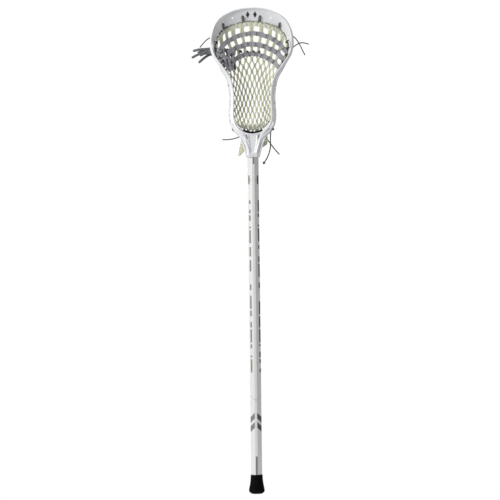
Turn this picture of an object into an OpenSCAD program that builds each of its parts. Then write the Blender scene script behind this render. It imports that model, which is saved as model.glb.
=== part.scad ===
// Lacrosse stick: an octagonal tube shaft with a strung plastic head and a rubber end cap.
// Z runs up the shaft from the end cap's flat bottom, the ball side faces -Y, and the pocket hangs to +Y.

/* [Overall] */
// Length from the end cap's bottom to the tip of the scoop
overall_len = 1016; // [1016:1:1067]
// Widest outside width of the head
head_w = 176; // [168:1:184]

/* [Shaft] */
// Width of the shaft from side flat to side flat
shaft_w = 23; // [21:0.5:24]
// Depth of the shaft from front flat to back flat
shaft_d = 28; // [26:0.5:29]
// Width of the front and back flats
shaft_front = 6; // [5:0.5:9]
// Width of the side flats
shaft_side = 10; // [8:0.5:12]
// Wall thickness of the tube
shaft_wall = 1.2; // [1:0.1:2]

/* [Head] */
// Wall thickness of the scoop and the sidewalls
wall_t = 2.8; // [2.4:0.1:3.2]
// Radius of the round bottom of the opening
throat_r = 39; // [38:0.5:40]
// Thickness of the ball stop foam
foam_t = 3.3; // [2:0.1:3.4]
// Radius of the string holes
string_hole_r = 1.7; // [1.5:0.1:2]

/* [Pocket] */
// How far the mesh bags out behind the sidewalls
pocket_depth = 34; // [25:1:36]
// Width of a shooting lace
lace_w = 9.6; // [8:0.2:11]
// Diameter of the strings
string_d = 2.4; // [2:0.1:2.6]
// Diameter of a shooting lace's loose end, which is rolled up
lace_d = 5.4; // [4:0.1:5.6]

/* [End cap and screw] */
// Height of the end cap
cap_h = 40; // [36:1:44]
// Widest width of the end cap
cap_w = 33; // [31:1:36]
// Diameter of the head screw's shank
screw_d = 4.2; // [3.8:0.1:4.4]
// Length of the head screw's shank
screw_len = 14; // [12:0.5:16]

/* [Hidden] */

fit_gap = 0.3;             // clearance between pieces that move on each other
seat_gap = 0.15;           // clearance between pieces that are fixed together
kx = head_w / 176;         // the stations below are for a head 176 wide

// Stations down the right side of the head, from the tip of the scoop to the neck:
// [half width, drop below the tip, front depth, back depth, front rail inset, back rail inset,
// front rail width]
STATIONS = [
    [0, 0, -22, 6, 0, 22, 3.5],
    [36, 5, -21, 7, 0, 22, 3.5],
    [66, 20, -19, 10, 0, 18.5, 3.5],
    [82, 43, -15, 16, 0, 12, 4],
    [88, 71, -10, 24, 0, 6, 5],
    [84, 98, -6, 31, 0.5, 3, 6],
    [70, 123, -3, 36, 1.5, 1, 7],
    [55, 148, -1, 39, 2.5, 0, 7.5],
    [49, 176, 0, 40, 3, 0, 7.5],
    [49, 204, -1, 40, 3, 0, 7.5],
    [50, 226, -4, 40, 3, 0, 8],
    [47, 244, -8, 38, 3, 0, 8],
    [37, 261, -13, 34, 2, 0, 8],
    [24, 272, -16.5, 27, 1, 0, 8],
    [16, 289, -17, 16, 0, 0, 8]];
LAST = len(STATIONS) - 1;
WALL_END = 12.9;           // station where the sidewall runs into the throat
CORNER_TOP = 3.6;          // station of the mesh's upper corners
CORNER_LOW = 10.3;         // station of the mesh's lower corners
front_h = 5;               // height of the front rail
back_h = 6;                // height of the back rail
back_w = 5;                // width of the back rail
mesh_gap = 3.4;            // gap from the back rail to the mesh, which the sidewall string fills
mesh_t = 2.4;              // thickness of the mesh
throat_z = overall_len - 221;              // centre of the opening's round bottom
foam_r = throat_r + foam_t;                // back face of the foam
mesh_low_r = throat_r - 1.8;               // round lower edge of the mesh
mesh_round_x = 28;                         // half width of that round edge
mesh_slope = mesh_round_x / sqrt(pow(mesh_low_r, 2) - pow(mesh_round_x, 2));
neck_z = overall_len - 313;                // lower end of the neck
neck_top_z = overall_len - 289;            // where the neck meets the throat
shaft_top_z = overall_len - 270;
shaft_z = 4;
screw_z = overall_len - 294;
screw_face_y = 19;                         // face that the screw head sits on
screw_head_r = 4;
screw_head_h = 2.4;
socket_h = cap_h - shaft_z;

// ---------------------------------------------------------------- curves

function catmull(a, b, c, d, t) = (2 * b + (c - a) * t + (2 * a - 5 * b + 4 * c - d) * t * t
    + (3 * b - a - 3 * c + d) * t * t * t) / 2;
function station_row(i) = i < 0 ? [for (k = [0:6]) (k == 0 ? -1 : 1) * STATIONS[-i][k]]
    : i > LAST ? 2 * STATIONS[LAST] - STATIONS[2 * LAST - i] : STATIONS[i];
// The seven values at any place s along the side, s = 0 at the tip
function station(s) = let (i = min(floor(s), LAST - 1), t = s - i)
    catmull(station_row(i - 1), station_row(i), station_row(i + 1), station_row(i + 2), t);
// Unit direction, in X and Z, from the outline into the head
function inward(s) = let (d = station(s + 0.05) - station(s - 0.05), n = norm([d[0], d[1]]))
    [-d[1] / n, -d[0] / n];
// Point at station s, a inside the outline and at depth y; a negative s is the left side
function rim(s, a, y) = let (st = station(abs(s)), n = inward(abs(s)), side = s < 0 ? -1 : 1)
    [side * kx * (st[0] + n[0] * a), y, overall_len - st[1] + n[1] * a];
// Point on the inner edge of the back rail, plus a gap
function rail_edge(s, gap, lift) = let (st = station(abs(s))) rim(s, st[5] + back_w + gap, st[3] - lift);
// Point on the inner face of the wall, k = 0 at the front rail and 1 at the back rail
function wall_face(s, k, gap) = let (st = station(abs(s)), a0 = st[4] + wall_t + 1, a1 = st[5] + wall_t + 1)
    rim(s, a0 + (a1 - a0) * k + gap, st[2] + front_h + (st[3] - back_h - st[2] - front_h) * k - gap * k);

// The mesh is a patch between the scoop, the two back rails and the ball stop
function mesh_corner(k) = rail_edge(k * CORNER_TOP, mesh_gap, 3);
function mesh_low_z(x) = throat_z - sqrt(pow(mesh_low_r, 2) - pow(min(abs(x), mesh_round_x), 2))
    + mesh_slope * max(0, abs(x) - mesh_round_x);
function mesh_top(u) = mesh_corner(u);
function mesh_side(side, v) = rail_edge(side * (CORNER_TOP + (CORNER_LOW - CORNER_TOP) * v), mesh_gap, 3);
function mesh_low(u) = let (c = mesh_side(1, 1), x = u * c[0])
    [x, c[1] + (u * u - 1) * 6, mesh_low_z(x) + abs(u) * (c[2] - mesh_low_z(c[0]))];
function mesh_bag(u, v) = pocket_depth * sin(180 * pow(v, 1.45)) * (1 - pow(abs(u), 2.2));
// Point of the mesh, u = -1 to 1 across and v = 0 to 1 down
function mesh_point(u, v) = (1 - v) * mesh_top(u) + v * mesh_low(u)
    + (1 - u) / 2 * mesh_side(-1, v) + (1 + u) / 2 * mesh_side(1, v)
    - (1 - v) * ((1 - u) / 2 * mesh_corner(-1) + (1 + u) / 2 * mesh_corner(1))
    - v * ((1 - u) / 2 * mesh_side(-1, 1) + (1 + u) / 2 * mesh_side(1, 1))
    + [0, mesh_bag(u, v), 0];

// ---------------------------------------------------------------- sweeps

// Solid between a list of rings that all have the same number of points
module skin(rings) {
    n = len(rings[0]);
    last = len(rings) - 1;
    faces = concat(
        [[for (i = [0:n - 1]) i]],
        [for (r = [0:last - 1], i = [0:n - 1]) each [
            [r * n + i, (r + 1) * n + i, (r + 1) * n + (i + 1) % n],
            [r * n + i, (r + 1) * n + (i + 1) % n, r * n + (i + 1) % n]]],
        [[for (i = [n - 1:-1:0]) last * n + i]]);
    polyhedron(points = [for (ring = rings) each ring], faces = faces, convexity = 10);
}

function unit(v) = v / norm(v);
function path_dir(path, i) = unit(path[min(i + 1, len(path) - 1)] - path[max(i - 1, 0)]);
// Ring of a tube around point i of a path
function tube_ring(path, i, r, sides) = let (d = path_dir(path, i),
    side = unit(abs(d[1]) < 0.9 ? cross(d, [0, 1, 0]) : cross(d, [1, 0, 0])), up = cross(side, d))
    [for (k = [0:sides - 1]) path[i] + r * (side * cos(360 * k / sides) + up * sin(360 * k / sides))];

module tube(path, r, sides = 8) {
    skin([for (i = [0:len(path) - 1]) tube_ring(path, i, r, sides)]);
}

// Upright prism of an octagon, with corners cut so that the flats keep their widths
module octagon(w, d, front, side) {
    polygon([[-front / 2, -d / 2], [front / 2, -d / 2], [w / 2, -side / 2], [w / 2, side / 2],
        [front / 2, d / 2], [-front / 2, d / 2], [-w / 2, side / 2], [-w / 2, -side / 2]]);
}

module shaft_section(grow) {
    octagon(shaft_w + 2 * grow, shaft_d + 2 * grow, shaft_front + 0.9 * grow, shaft_side + 0.9 * grow);
}

// ---------------------------------------------------------------- shaft, cap, screw

module shaft() color("white") difference() {
    translate([0, 0, shaft_z]) linear_extrude(shaft_top_z - shaft_z) difference() {
        shaft_section(0);
        shaft_section(-shaft_wall);
    }
    translate([0, shaft_d / 2 + 1, screw_z]) rotate([90, 0, 0])
        cylinder(r = screw_d / 2 + 0.4, h = shaft_wall + 2, $fn = 32);
}

module cap_slab(z, w, h = 0.2) {
    translate([0, 0, z]) linear_extrude(h) octagon(w, w + 4, w * 0.4, w * 0.46);
}

module butt_cap() color("black") difference() {
    union() {
        hull() { cap_slab(0, cap_w - 12); cap_slab(2, cap_w - 6.4); }
        hull() { cap_slab(2, cap_w - 6.4); cap_slab(6, cap_w); }
        hull() { cap_slab(6, cap_w); cap_slab(12, cap_w - 1); }
        hull() { cap_slab(12, cap_w - 1); cap_slab(22, cap_w - 5.6); }
        hull() { cap_slab(22, cap_w - 5.6); cap_slab(cap_h - 4, shaft_w + 2.6); }
        hull() { cap_slab(cap_h - 4, shaft_w + 2.6); cap_slab(cap_h - 0.2, shaft_w + 2); }
    }
    translate([0, 0, shaft_z]) linear_extrude(socket_h + 1) shaft_section(fit_gap);
}

module head_screw() color("silver") difference() {
    union() {
        translate([0, screw_face_y + 0.1, screw_z]) rotate([-90, 0, 0])
            cylinder(r = screw_head_r, h = screw_head_h, $fn = 48);
        translate([0, screw_face_y + 0.2, screw_z]) rotate([90, 0, 0])
            cylinder(r = screw_d / 2, h = screw_len, $fn = 32);
    }
    for (turn = [0, 90])
        translate([0, screw_face_y + screw_head_h, screw_z]) rotate([0, turn, 0])
            cube([4.6, 2.4, 1], center = true);
}

// ---------------------------------------------------------------- head

// How far the front rail slopes back to the outside, from none on the scoop
function rail_tilt(s) = 3 * min(1, max(0, (abs(s) - 2.5) / 2));

// Cross section of the wall with a rail on each edge, as one ring at station s
function wall_ring(s) = let (st = station(abs(s)), y0 = st[2], y1 = st[3], f0 = st[4], f1 = st[4] + st[6],
    b0 = st[5], b1 = st[5] + back_w, fw = f0 + 1, bw = b0 + 1, tilt = rail_tilt(s))
    [for (p = [[f0, y0 + 1.5 + tilt], [f0 + 1.5, y0 + 0.8 * tilt], [f1 - 1.5, y0], [f1, y0 + 1],
        [f1, y0 + front_h - 1],
        [fw + wall_t, y0 + front_h + 1], [bw + wall_t, y1 - back_h - 1], [b1, y1 - back_h + 0.5],
        [b1, y1 - 1], [b1 - 1, y1], [b0 + 1, y1], [b0, y1 - 1], [b0, y1 - back_h],
        [bw, y1 - back_h - 1], [fw, y0 + front_h + 1.5 + 0.5 * tilt],
        [f0, y0 + front_h - 0.5 + 0.7 * tilt]]) rim(s, p[0], p[1])];

module wall() {
    steps = 50;
    skin([for (i = [-steps:steps]) wall_ring(WALL_END * i / steps)]);
}

// Truss windows through both sidewalls: rounded triangles that alternate along the rails
WINDOWS = [4.35, 5.15, 5.95, 6.8, 7.6, 8.35, 9.1, 9.9, 10.7];
function window_point(s, k) = let (st = station(s), lo = st[2] + front_h + 4, hi = st[3] - back_h - 4)
    [lo + (hi - lo) * k, overall_len - st[1]];

module window(i) {
    s = WINDOWS[i];
    wide = 0.44;
    tip = 0.1;
    flip = i % 2;
    multmatrix([[0, 0, 1, -head_w / 2 - 5], [1, 0, 0, 0], [0, 1, 0, 0], [0, 0, 0, 1]])
        linear_extrude(head_w + 10) offset(r = 1.6, $fn = 12) polygon([
            window_point(s - wide, flip), window_point(s - tip, 1 - flip),
            window_point(s + tip, 1 - flip), window_point(s + wide, flip)]);
}

// String holes in the sidewalls, just in front of the back rail
module sidewall_holes() {
    for (s = [3.9:0.6:10.6]) {
        st = station(s);
        translate([0, st[3] - back_h - 0.6, overall_len - st[1]]) rotate([0, 90, 0])
            cylinder(r = string_hole_r, h = head_w + 10, center = true, $fn = 8);
    }
}

// Holes through the scoop: stations with a string loop, and two plain round ones
SCOOP_LOOPS = [-2.2, -0.57, 0.57, 2.2];
SCOOP_PLAIN = [-1.28, 1.28];
LOOP_K = 0.58;             // how far down the scoop's face the loops' holes are
module scoop_hole(s, k, r) {
    p = wall_face(s, k, 0);
    translate(p) rotate([90, 0, 0]) cylinder(r = r, h = 24, center = true, $fn = 10);
}

// Throat: the walls draw in from the sidewalls to the neck
module throat_body() {
    hull() { head_slab(784, 46.5, -4, 2); head_slab(771, 45.6, -8, 8); }
    hull() { head_slab(771, 45.6, -8, 36.5); head_slab(757, 38, -12.5, 33); }
    hull() { head_slab(757, 38, -12.5, 33); head_slab(745, 25.5, -16.5, 28, 6); }
    hull() { head_slab(745, 25.5, -16.5, 28, 6); head_slab(727, 16.6, -17.2, 20, 7); }
    hull() { head_slab(727, 16.6, -17.2, 20, 7); head_slab(716, 14.9, -17, 19.5, 7); }
    hull() { head_slab(716, 14.9, -17, 19.5, 7); head_slab(708, 15.3, -17.4, 19.2, 7); }
    hull() { head_slab(708, 15.3, -17.4, 19.2, 7); head_slab(703, 13.8, -15.8, 15.8, 7); }
    hull() screw_boss();
    for (side = [-1, 1]) hull() rib(side);
}

// Slab of the head with cut corners: height above a 1016 long stick's base, half width, front, back, corner
module head_slab(z, half, y0, y1, c = 2) {
    translate([0, 0, z + overall_len - 1016]) linear_extrude(0.2) polygon([
        [-half + c, y0], [half - c, y0], [half, y0 + c], [half, y1 - c],
        [half - c, y1], [-half + c, y1], [-half, y1 - c], [-half, y0 + c]]);
}

module screw_boss() {
    translate([0, screw_face_y - 5, screw_z]) rotate([-90, 0, 0])
        cylinder(r = screw_head_r + 3, h = 5 + screw_head_h, $fn = 24);
}

module rib(side) {
    translate([side * 8, -17.4, overall_len - 300]) cube([2.6, 2, 0.2], center = true);
    translate([side * 20, -15.5, overall_len - 266]) cube([2.6, 3, 0.2], center = true);
}

module throat_hollow() {
    // Opening for the ball, deeper where the foam sits
    translate([0, 0, throat_z]) rotate([90, 0, 0]) {
        cylinder(r = throat_r, h = 200, center = true, $fn = 128);
        intersection() {
            cylinder(r = foam_r + seat_gap, h = 200, center = true, $fn = 128);
            translate([0, -throat_r, 0]) cube([throat_r, 12, 200], center = true);
        }
    }
    // Back of the throat, open to the rear around the shaft's end
    difference() {
        hull() { head_slab(775, 42, -3, 60); head_slab(751, 27, -9, 60); }
        translate([0, 0, throat_z]) rotate([90, 0, 0])
            cylinder(r = foam_r + 3, h = 300, center = true, $fn = 96);
    }
    // Triangular recesses beside the middle panel
    for (side = [-1, 1]) hull() {
        translate([side * 13.5, -16.5, overall_len - 268]) cube([5, 5, 0.2], center = true);
        translate([side * 10, -18, overall_len - 277]) cube([0.8, 4, 0.2], center = true);
    }
    translate([0, 0, neck_z - 5]) linear_extrude(shaft_top_z + 1 - neck_z + 5) shaft_section(seat_gap);
    translate([0, screw_face_y, screw_z]) rotate([-90, 0, 0])
        cylinder(r = screw_head_r + 0.5, h = 20, $fn = 24);
    translate([0, screw_face_y + 1, screw_z]) rotate([90, 0, 0])
        cylinder(r = screw_d / 2 + 0.4, h = 15, $fn = 24);
}

module head_frame() color("whitesmoke") difference() {
    union() {
        difference() {
            wall();
            for (i = [0:len(WINDOWS) - 1]) window(i);
        }
        throat_body();
    }
    throat_hollow();
    sidewall_holes();
    for (s = SCOOP_LOOPS) scoop_hole(s, LOOP_K, string_hole_r);
    for (s = SCOOP_PLAIN) scoop_hole(s, 0.5, string_hole_r);
}

module ball_stop() color("black") intersection() {
    translate([0, 9.5, throat_z]) rotate([90, 0, 0]) difference() {
        cylinder(r = foam_r, h = 45, center = true, $fn = 128);
        cylinder(r = throat_r, h = 60, center = true, $fn = 128);
    }
    translate([0, 0, throat_z - throat_r]) cube([throat_r - 0.6, 100, 11], center = true);
}

// ---------------------------------------------------------------- strings and mesh

// Closed sheet between two grids of points, which run across to +X and then down
module sheet(front, back) {
    m = len(front) - 1;
    n = len(front[0]) - 1;
    function id(face, i, j) = (face * (m + 1) + i) * (n + 1) + j;
    quads = concat(
        [for (i = [0:m - 1], j = [0:n - 1])
            [id(0, i, j), id(0, i + 1, j), id(0, i + 1, j + 1), id(0, i, j + 1)]],
        [for (i = [0:m - 1], j = [0:n - 1])
            [id(1, i, j), id(1, i, j + 1), id(1, i + 1, j + 1), id(1, i + 1, j)]],
        [for (j = [0:n - 1]) [id(0, 0, j), id(0, 0, j + 1), id(1, 0, j + 1), id(1, 0, j)]],
        [for (j = [0:n - 1]) [id(0, m, j), id(1, m, j), id(1, m, j + 1), id(0, m, j + 1)]],
        [for (i = [0:m - 1]) [id(0, i, 0), id(1, i, 0), id(1, i + 1, 0), id(0, i + 1, 0)]],
        [for (i = [0:m - 1]) [id(0, i, n), id(0, i + 1, n), id(1, i + 1, n), id(1, i, n)]]);
    polyhedron(points = [for (grid = [front, back], line = grid) each line],
        faces = [for (q = quads) each [[q[0], q[1], q[2]], [q[0], q[2], q[3]]]], convexity = 10);
}

module pocket_mesh() color("ivory") {
    across = 14;
    down = 20;
    grid = [for (i = [0:across]) [for (j = [0:down]) mesh_point(-1 + 2 * i / across, j / down)]];
    sheet([for (line = grid) [for (p = line) p - [0, mesh_t / 2, 0]]],
        [for (line = grid) [for (p = line) p + [0, mesh_t / 2, 0]]]);
}

module string_along(s0, s1, steps) {
    tube([for (i = [0:steps]) rail_edge(s0 + (s1 - s0) * i / steps, string_d / 2 + 0.2, 3)],
        string_d / 2, 6);
}

// Loop of the top string from the mesh up the scoop's face to its hole
module scoop_loop(s) {
    tube([wall_face(s, LOOP_K, 1.6), wall_face(s, 0.85, 1.8), rail_edge(s, string_d / 2 + 0.2, 4)],
        string_d / 2, 6);
}

module top_string() color("dimgray") {
    string_along(-CORNER_TOP - 0.1, CORNER_TOP + 0.1, 36);
    for (s = SCOOP_LOOPS) scoop_loop(s);
}

module sidewall_string(side) color("gray") {
    string_along(side * (CORNER_TOP + 0.2), side * 11.2, 36);
}

module bottom_string() color("gray") {
    tube([for (a = [-42:6:42]) [(throat_r + 1.5) * sin(a), 38, throat_z - (throat_r + 1.5) * cos(a)]],
        string_d / 2, 6);
}

// Direction from the mesh to the ball side
function mesh_front(u, v) = let (a = mesh_point(u + 0.02, v) - mesh_point(u - 0.02, v),
    b = mesh_point(u, v + 0.02) - mesh_point(u, v - 0.02), n = unit(cross(b, a))) n[1] < 0 ? n : -n;

// Flat lace across the front of the mesh, at v in the middle and lower towards its ends
LACE_DROOP = 0.108;
function lace_v(v, u) = v + LACE_DROOP * u * u;
function lace_point(v, u) = mesh_point(u, lace_v(v, u));
module shooting_lace(v) color("slategray") {
    steps = 24;
    reach = 0.92;
    lift = mesh_t / 2 + 2 * fit_gap;
    skin([for (i = [0:steps]) let (u = reach * (-1 + 2 * i / steps), p = lace_point(v, u),
        d = unit(lace_point(v, u + 0.02) - lace_point(v, u - 0.02)),
        front = mesh_front(u, lace_v(v, u)), up = unit(cross(d, front)))
        [for (k = [[-1, 0], [1, 0], [1, 1], [-1, 1]])
            p + up * k[0] * lace_w / 2 + front * (lift + 1.2 * k[1])]]);
}

// Spare mesh hanging behind the throat: a folded flap that narrows to its tip
module mesh_tail(side, points) color("ivory") {
    skin([for (p = points) let (w = p[3], c = [side * p[0], p[1], overall_len - p[2]])
        [c + [-w / 2, -1.5, 0], c + [w / 2, -1.5, 0], c + [w / 2, 1.5, 0], c + [-w / 2, 1.5, 0]]]);
}

// Flap points: distance from the middle, depth, drop below the tip, width
FLAP_LEFT = [[12, 36, 260, 12], [14, 34.5, 266, 13], [17, 32, 275, 13], [20, 30.5, 285, 12],
    [24, 28, 299, 9], [29, 26, 309, 3]];
FLAP_RIGHT = [[20, 36, 258, 12], [23, 35, 267, 13], [25, 33, 276, 13], [24, 31, 284, 11],
    [20, 29.5, 291, 4]];

// Loose string ends: each point is [x, y, drop below the tip of the scoop]
TAIL_TOP_LEFT = [[-75, 19, 60], [-80, 25, 59], [-87, 28, 60.5], [-94, 26, 65], [-101, 22, 72],
    [-108, 18, 80.5]];
TAIL_LACE_UPPER = [[-78, 26, 82], [-86, 30, 83], [-94, 30, 84], [-103, 27, 84.5], [-112, 24, 85.5],
    [-121, 21, 88]];
TAIL_LACE_MIDDLE = [[-76, 31, 88.5], [-84, 35, 88.5], [-94, 36, 89.5], [-104, 33, 92], [-114, 29, 96],
    [-124, 26, 101.5]];
TAIL_LACE_LOWER = [[-75, 33, 95.5], [-82, 38, 95], [-89, 39, 96], [-97, 36, 100.5], [-104, 31, 106],
    [-110, 26, 111.5]];
TAIL_TOP_RIGHT = [[75, 19, 62], [82, 25, 60], [89, 28, 61], [95, 25, 68], [101, 21, 78],
    [106, 18, 89], [111, 16, 99]];
TAIL_SIDE_RIGHT = [[78, 27, 86], [85, 32, 84], [91, 34, 79], [98, 34, 75], [105, 33, 73],
    [112, 32, 74], [119, 31, 76]];
TAIL_LOW_LEFT = [[-27, 38, 251], [-25, 39, 257], [-25, 37, 264], [-28, 34, 268.5], [-35, 32, 271.5],
    [-43, 31, 273.5], [-53, 30, 274.5], [-63, 30, 274.5]];
TAIL_LOW_RIGHT = [[39, 35, 245], [39, 40, 250], [38, 42, 259], [37, 42, 273], [37, 41, 288],
    [35, 39, 300], [30, 37, 313], [23, 36, 324]];
TAIL_BOTTOM_RIGHT = [[27, 38, 251], [25, 39, 258], [26, 38, 266], [30, 36, 274], [38, 35, 285],
    [46, 35, 296], [55, 35, 306]];

module tail(points, d) color("gray") {
    tube([for (p = points) [p[0], p[1], overall_len - p[2]]], d / 2);
}

shaft();
butt_cap();
head_frame();
ball_stop();
head_screw();
pocket_mesh();
top_string();
sidewall_string(-1);  // sidewall_string_left
sidewall_string(1);  // sidewall_string_right
bottom_string();
shooting_lace(0.103);  // shooting_lace_upper
shooting_lace(0.205);  // shooting_lace_middle
shooting_lace(0.3);  // shooting_lace_lower
mesh_tail(-1, FLAP_LEFT);  // mesh_tail_left
mesh_tail(1, FLAP_RIGHT);  // mesh_tail_right
tail(TAIL_TOP_LEFT, string_d);  // top_string_tail_left
tail(TAIL_LACE_UPPER, lace_d);  // lace_tail_upper
tail(TAIL_LACE_MIDDLE, lace_d);  // lace_tail_middle
tail(TAIL_LACE_LOWER, lace_d);  // lace_tail_lower
tail(TAIL_TOP_RIGHT, string_d);  // top_string_tail_right
tail(TAIL_SIDE_RIGHT, string_d);  // sidewall_tail_top_right
tail(TAIL_LOW_LEFT, string_d);  // sidewall_tail_bottom_left
tail(TAIL_LOW_RIGHT, string_d);  // sidewall_tail_bottom_right
tail(TAIL_BOTTOM_RIGHT, string_d);  // bottom_string_tail_right
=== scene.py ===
import math

import bpy
import numpy as np
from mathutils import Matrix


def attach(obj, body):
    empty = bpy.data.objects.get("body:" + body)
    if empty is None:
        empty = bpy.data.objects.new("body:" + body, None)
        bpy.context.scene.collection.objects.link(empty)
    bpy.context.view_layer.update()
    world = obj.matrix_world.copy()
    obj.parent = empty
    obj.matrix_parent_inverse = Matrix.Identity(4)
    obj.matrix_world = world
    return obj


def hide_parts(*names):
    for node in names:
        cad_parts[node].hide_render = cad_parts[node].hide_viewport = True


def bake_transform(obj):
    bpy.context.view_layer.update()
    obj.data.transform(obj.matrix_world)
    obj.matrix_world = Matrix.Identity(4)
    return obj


MM = 0.001
TOP = 1016.0  # the tip of the scoop above the end cap's bottom

# ---------------------------------------------------------------- the head's shape, as in part.scad

# Stations down the right side: half width, drop below the tip, front depth, back depth, front rail
# inset, back rail inset, front rail width
STATIONS = np.array([
    [0, 0, -22, 6, 0, 22, 3.5],
    [36, 5, -21, 7, 0, 22, 3.5],
    [66, 20, -19, 10, 0, 18.5, 3.5],
    [82, 43, -15, 16, 0, 12, 4],
    [88, 71, -10, 24, 0, 6, 5],
    [84, 98, -6, 31, 0.5, 3, 6],
    [70, 123, -3, 36, 1.5, 1, 7],
    [55, 148, -1, 39, 2.5, 0, 7.5],
    [49, 176, 0, 40, 3, 0, 7.5],
    [49, 204, -1, 40, 3, 0, 7.5],
    [50, 226, -4, 40, 3, 0, 8],
    [47, 244, -8, 38, 3, 0, 8],
    [37, 261, -13, 34, 2, 0, 8],
    [24, 272, -16.5, 27, 1, 0, 8],
    [16, 289, -17, 16, 0, 0, 8],
], float)
LAST = len(STATIONS) - 1
WALL = 2.8  # thickness of the scoop and the sidewalls
WALL_END = 12.9
FRONT_H, BACK_H, BACK_W = 5.0, 6.0, 5.0
CORNER_TOP, CORNER_LOW = 3.6, 10.3
MESH_GAP, POCKET_DEPTH = 3.4, 34.0
THROAT_R, FOAM_T = 39.0, 3.3
THROAT_Z = TOP - 221
MESH_LOW_R, MESH_ROUND_X = THROAT_R - 1.8, 28.0
MESH_SLOPE = MESH_ROUND_X / math.sqrt(MESH_LOW_R**2 - MESH_ROUND_X**2)
STRING_D, LACE_D = 2.4, 5.4
SIDES = {"left": -1, "right": 1}
HOLE_R = 1.7
SHAFT_W, SHAFT_D, SHAFT_FRONT, SHAFT_SIDE, SHAFT_WALL = 23.0, 28.0, 6.0, 10.0, 1.2
SHAFT_Z, SHAFT_TOP, SCREW_Z, SCREW_FACE = 4.0, TOP - 270, TOP - 294, 19.0
CAP_H = 40.0


def vec(*xyz):
    return np.array(xyz, float)


def unit(v):
    return v / np.linalg.norm(v)


def angles(count):
    """Evenly spaced angles round a full turn."""
    return np.arange(count) * 2 * math.pi / count


def between(a, b, c, d, t):
    """Point between b and c, where t is 0 and 1, on a smooth curve through a, b, c and d."""
    square, cube = 2 * a - 5 * b + 4 * c - d, 3 * b - a - 3 * c + d
    return (2 * b + (c - a) * t + square * t * t + cube * t**3) / 2


def eased(value, start, end):
    """0 below start, 1 above end, smooth between."""
    t = min(max((value - start) / (end - start), 0), 1)
    return t * t * (3 - 2 * t)


def station(s):
    """The seven values at any place s along the side, s = 0 at the tip."""

    def row(i):
        if i < 0:
            return STATIONS[-i] * vec(-1, 1, 1, 1, 1, 1, 1)
        return 2 * STATIONS[LAST] - STATIONS[2 * LAST - i] if i > LAST else STATIONS[i]

    i = min(math.floor(s), LAST - 1)
    return between(*(row(i + k) for k in (-1, 0, 1, 2)), s - i)


def inward(s):
    d = station(s + 0.05) - station(s - 0.05)
    return unit(vec(-d[1], -d[0]))


def rim(s, a, y):
    """Point at station s, a inside the outline and at depth y. A negative s is the left side."""
    st, n = station(abs(s)), inward(abs(s))
    return vec((-1 if s < 0 else 1) * (st[0] + n[0] * a), y, TOP - st[1] + n[1] * a)


def rail_edge(s, gap, lift):
    st = station(abs(s))
    return rim(s, st[5] + BACK_W + gap, st[3] - lift)


def wall_face(s, k, gap):
    """Point on the wall's inner face, k = 0 at the front rail and 1 at the back rail."""
    st = station(abs(s))
    a0, a1 = st[4] + WALL + 1, st[5] + WALL + 1
    depth = st[2] + FRONT_H + (st[3] - BACK_H - st[2] - FRONT_H) * k
    return rim(s, a0 + (a1 - a0) * k + gap, depth - gap * k)


def mesh_low_z(x):
    over = max(0, abs(x) - MESH_ROUND_X)
    return THROAT_Z - math.sqrt(MESH_LOW_R**2 - min(abs(x), MESH_ROUND_X) ** 2) + MESH_SLOPE * over


def mesh_side(side, v):
    return rail_edge(side * (CORNER_TOP + (CORNER_LOW - CORNER_TOP) * v), MESH_GAP, 3)


def mesh_low(u):
    c = mesh_side(1, 1)
    x = u * c[0]
    return vec(x, c[1] + (u * u - 1) * 6, mesh_low_z(x) + abs(u) * (c[2] - mesh_low_z(c[0])))


def mesh_grid(steps):
    """The strung mesh as a grid of points, u = -1 to 1 across and v = 0 to 1 down."""
    us, vs = np.linspace(-1, 1, steps + 1), np.linspace(0, 1, steps + 1)
    top = np.array([rail_edge(u * CORNER_TOP, MESH_GAP, 3) for u in us])[:, None]
    low = np.array([mesh_low(u) for u in us])[:, None]
    sides = [np.array([mesh_side(side, v) for v in vs])[None] for side in (-1, 1)]
    u, v = us[:, None, None], vs[None, :, None]
    left, right = (1 - u) / 2, (1 + u) / 2
    corners = (1 - v) * (left * sides[0][:, :1] + right * sides[1][:, :1])
    corners = corners + v * (left * sides[0][:, -1:] + right * sides[1][:, -1:])
    bag = POCKET_DEPTH * np.sin(np.pi * v**1.45) * (1 - np.abs(u) ** 2.2) * vec(0, 1, 0)
    grid = (1 - v) * top + v * low + left * sides[0] + right * sides[1] - corners + bag
    for j, height in enumerate(vs):  # below the scoop the diamonds are evenly wide
        even = eased(height, 0.05, 0.27)
        x = grid[:, j, 0].copy()
        wanted = (1 - even) * x + even * us * x[-1]
        grid[:, j] = np.stack([np.interp(wanted, x, grid[:, j, k]) for k in range(3)], 1)
    return grid


GRID_STEPS = 240
GRID = mesh_grid(GRID_STEPS)


def mesh_point(u, v):
    """Point of the strung mesh, read from the grid."""
    i, j = (min(max(x, 0.0), 1.0) * GRID_STEPS for x in ((u + 1) / 2, v))
    i0, j0 = min(int(i), GRID_STEPS - 1), min(int(j), GRID_STEPS - 1)
    a, b = i - i0, j - j0
    near = (1 - b) * GRID[i0, j0] + b * GRID[i0, j0 + 1]
    far = (1 - b) * GRID[i0 + 1, j0] + b * GRID[i0 + 1, j0 + 1]
    return (1 - a) * near + a * far


def mesh_frame(u, v):
    """Point, direction to the front, and how many millimetres one unit of u is."""
    across = mesh_point(u + 0.01, v) - mesh_point(u - 0.01, v)
    down = mesh_point(u, v + 0.01) - mesh_point(u, v - 0.01)
    front = unit(np.cross(down, across))
    if front[1] > 0:
        front = -front
    return mesh_point(u, v), front, np.linalg.norm(across) / (0.02 if abs(u) < 0.985 else 0.01)


# ---------------------------------------------------------------- mesh building


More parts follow.
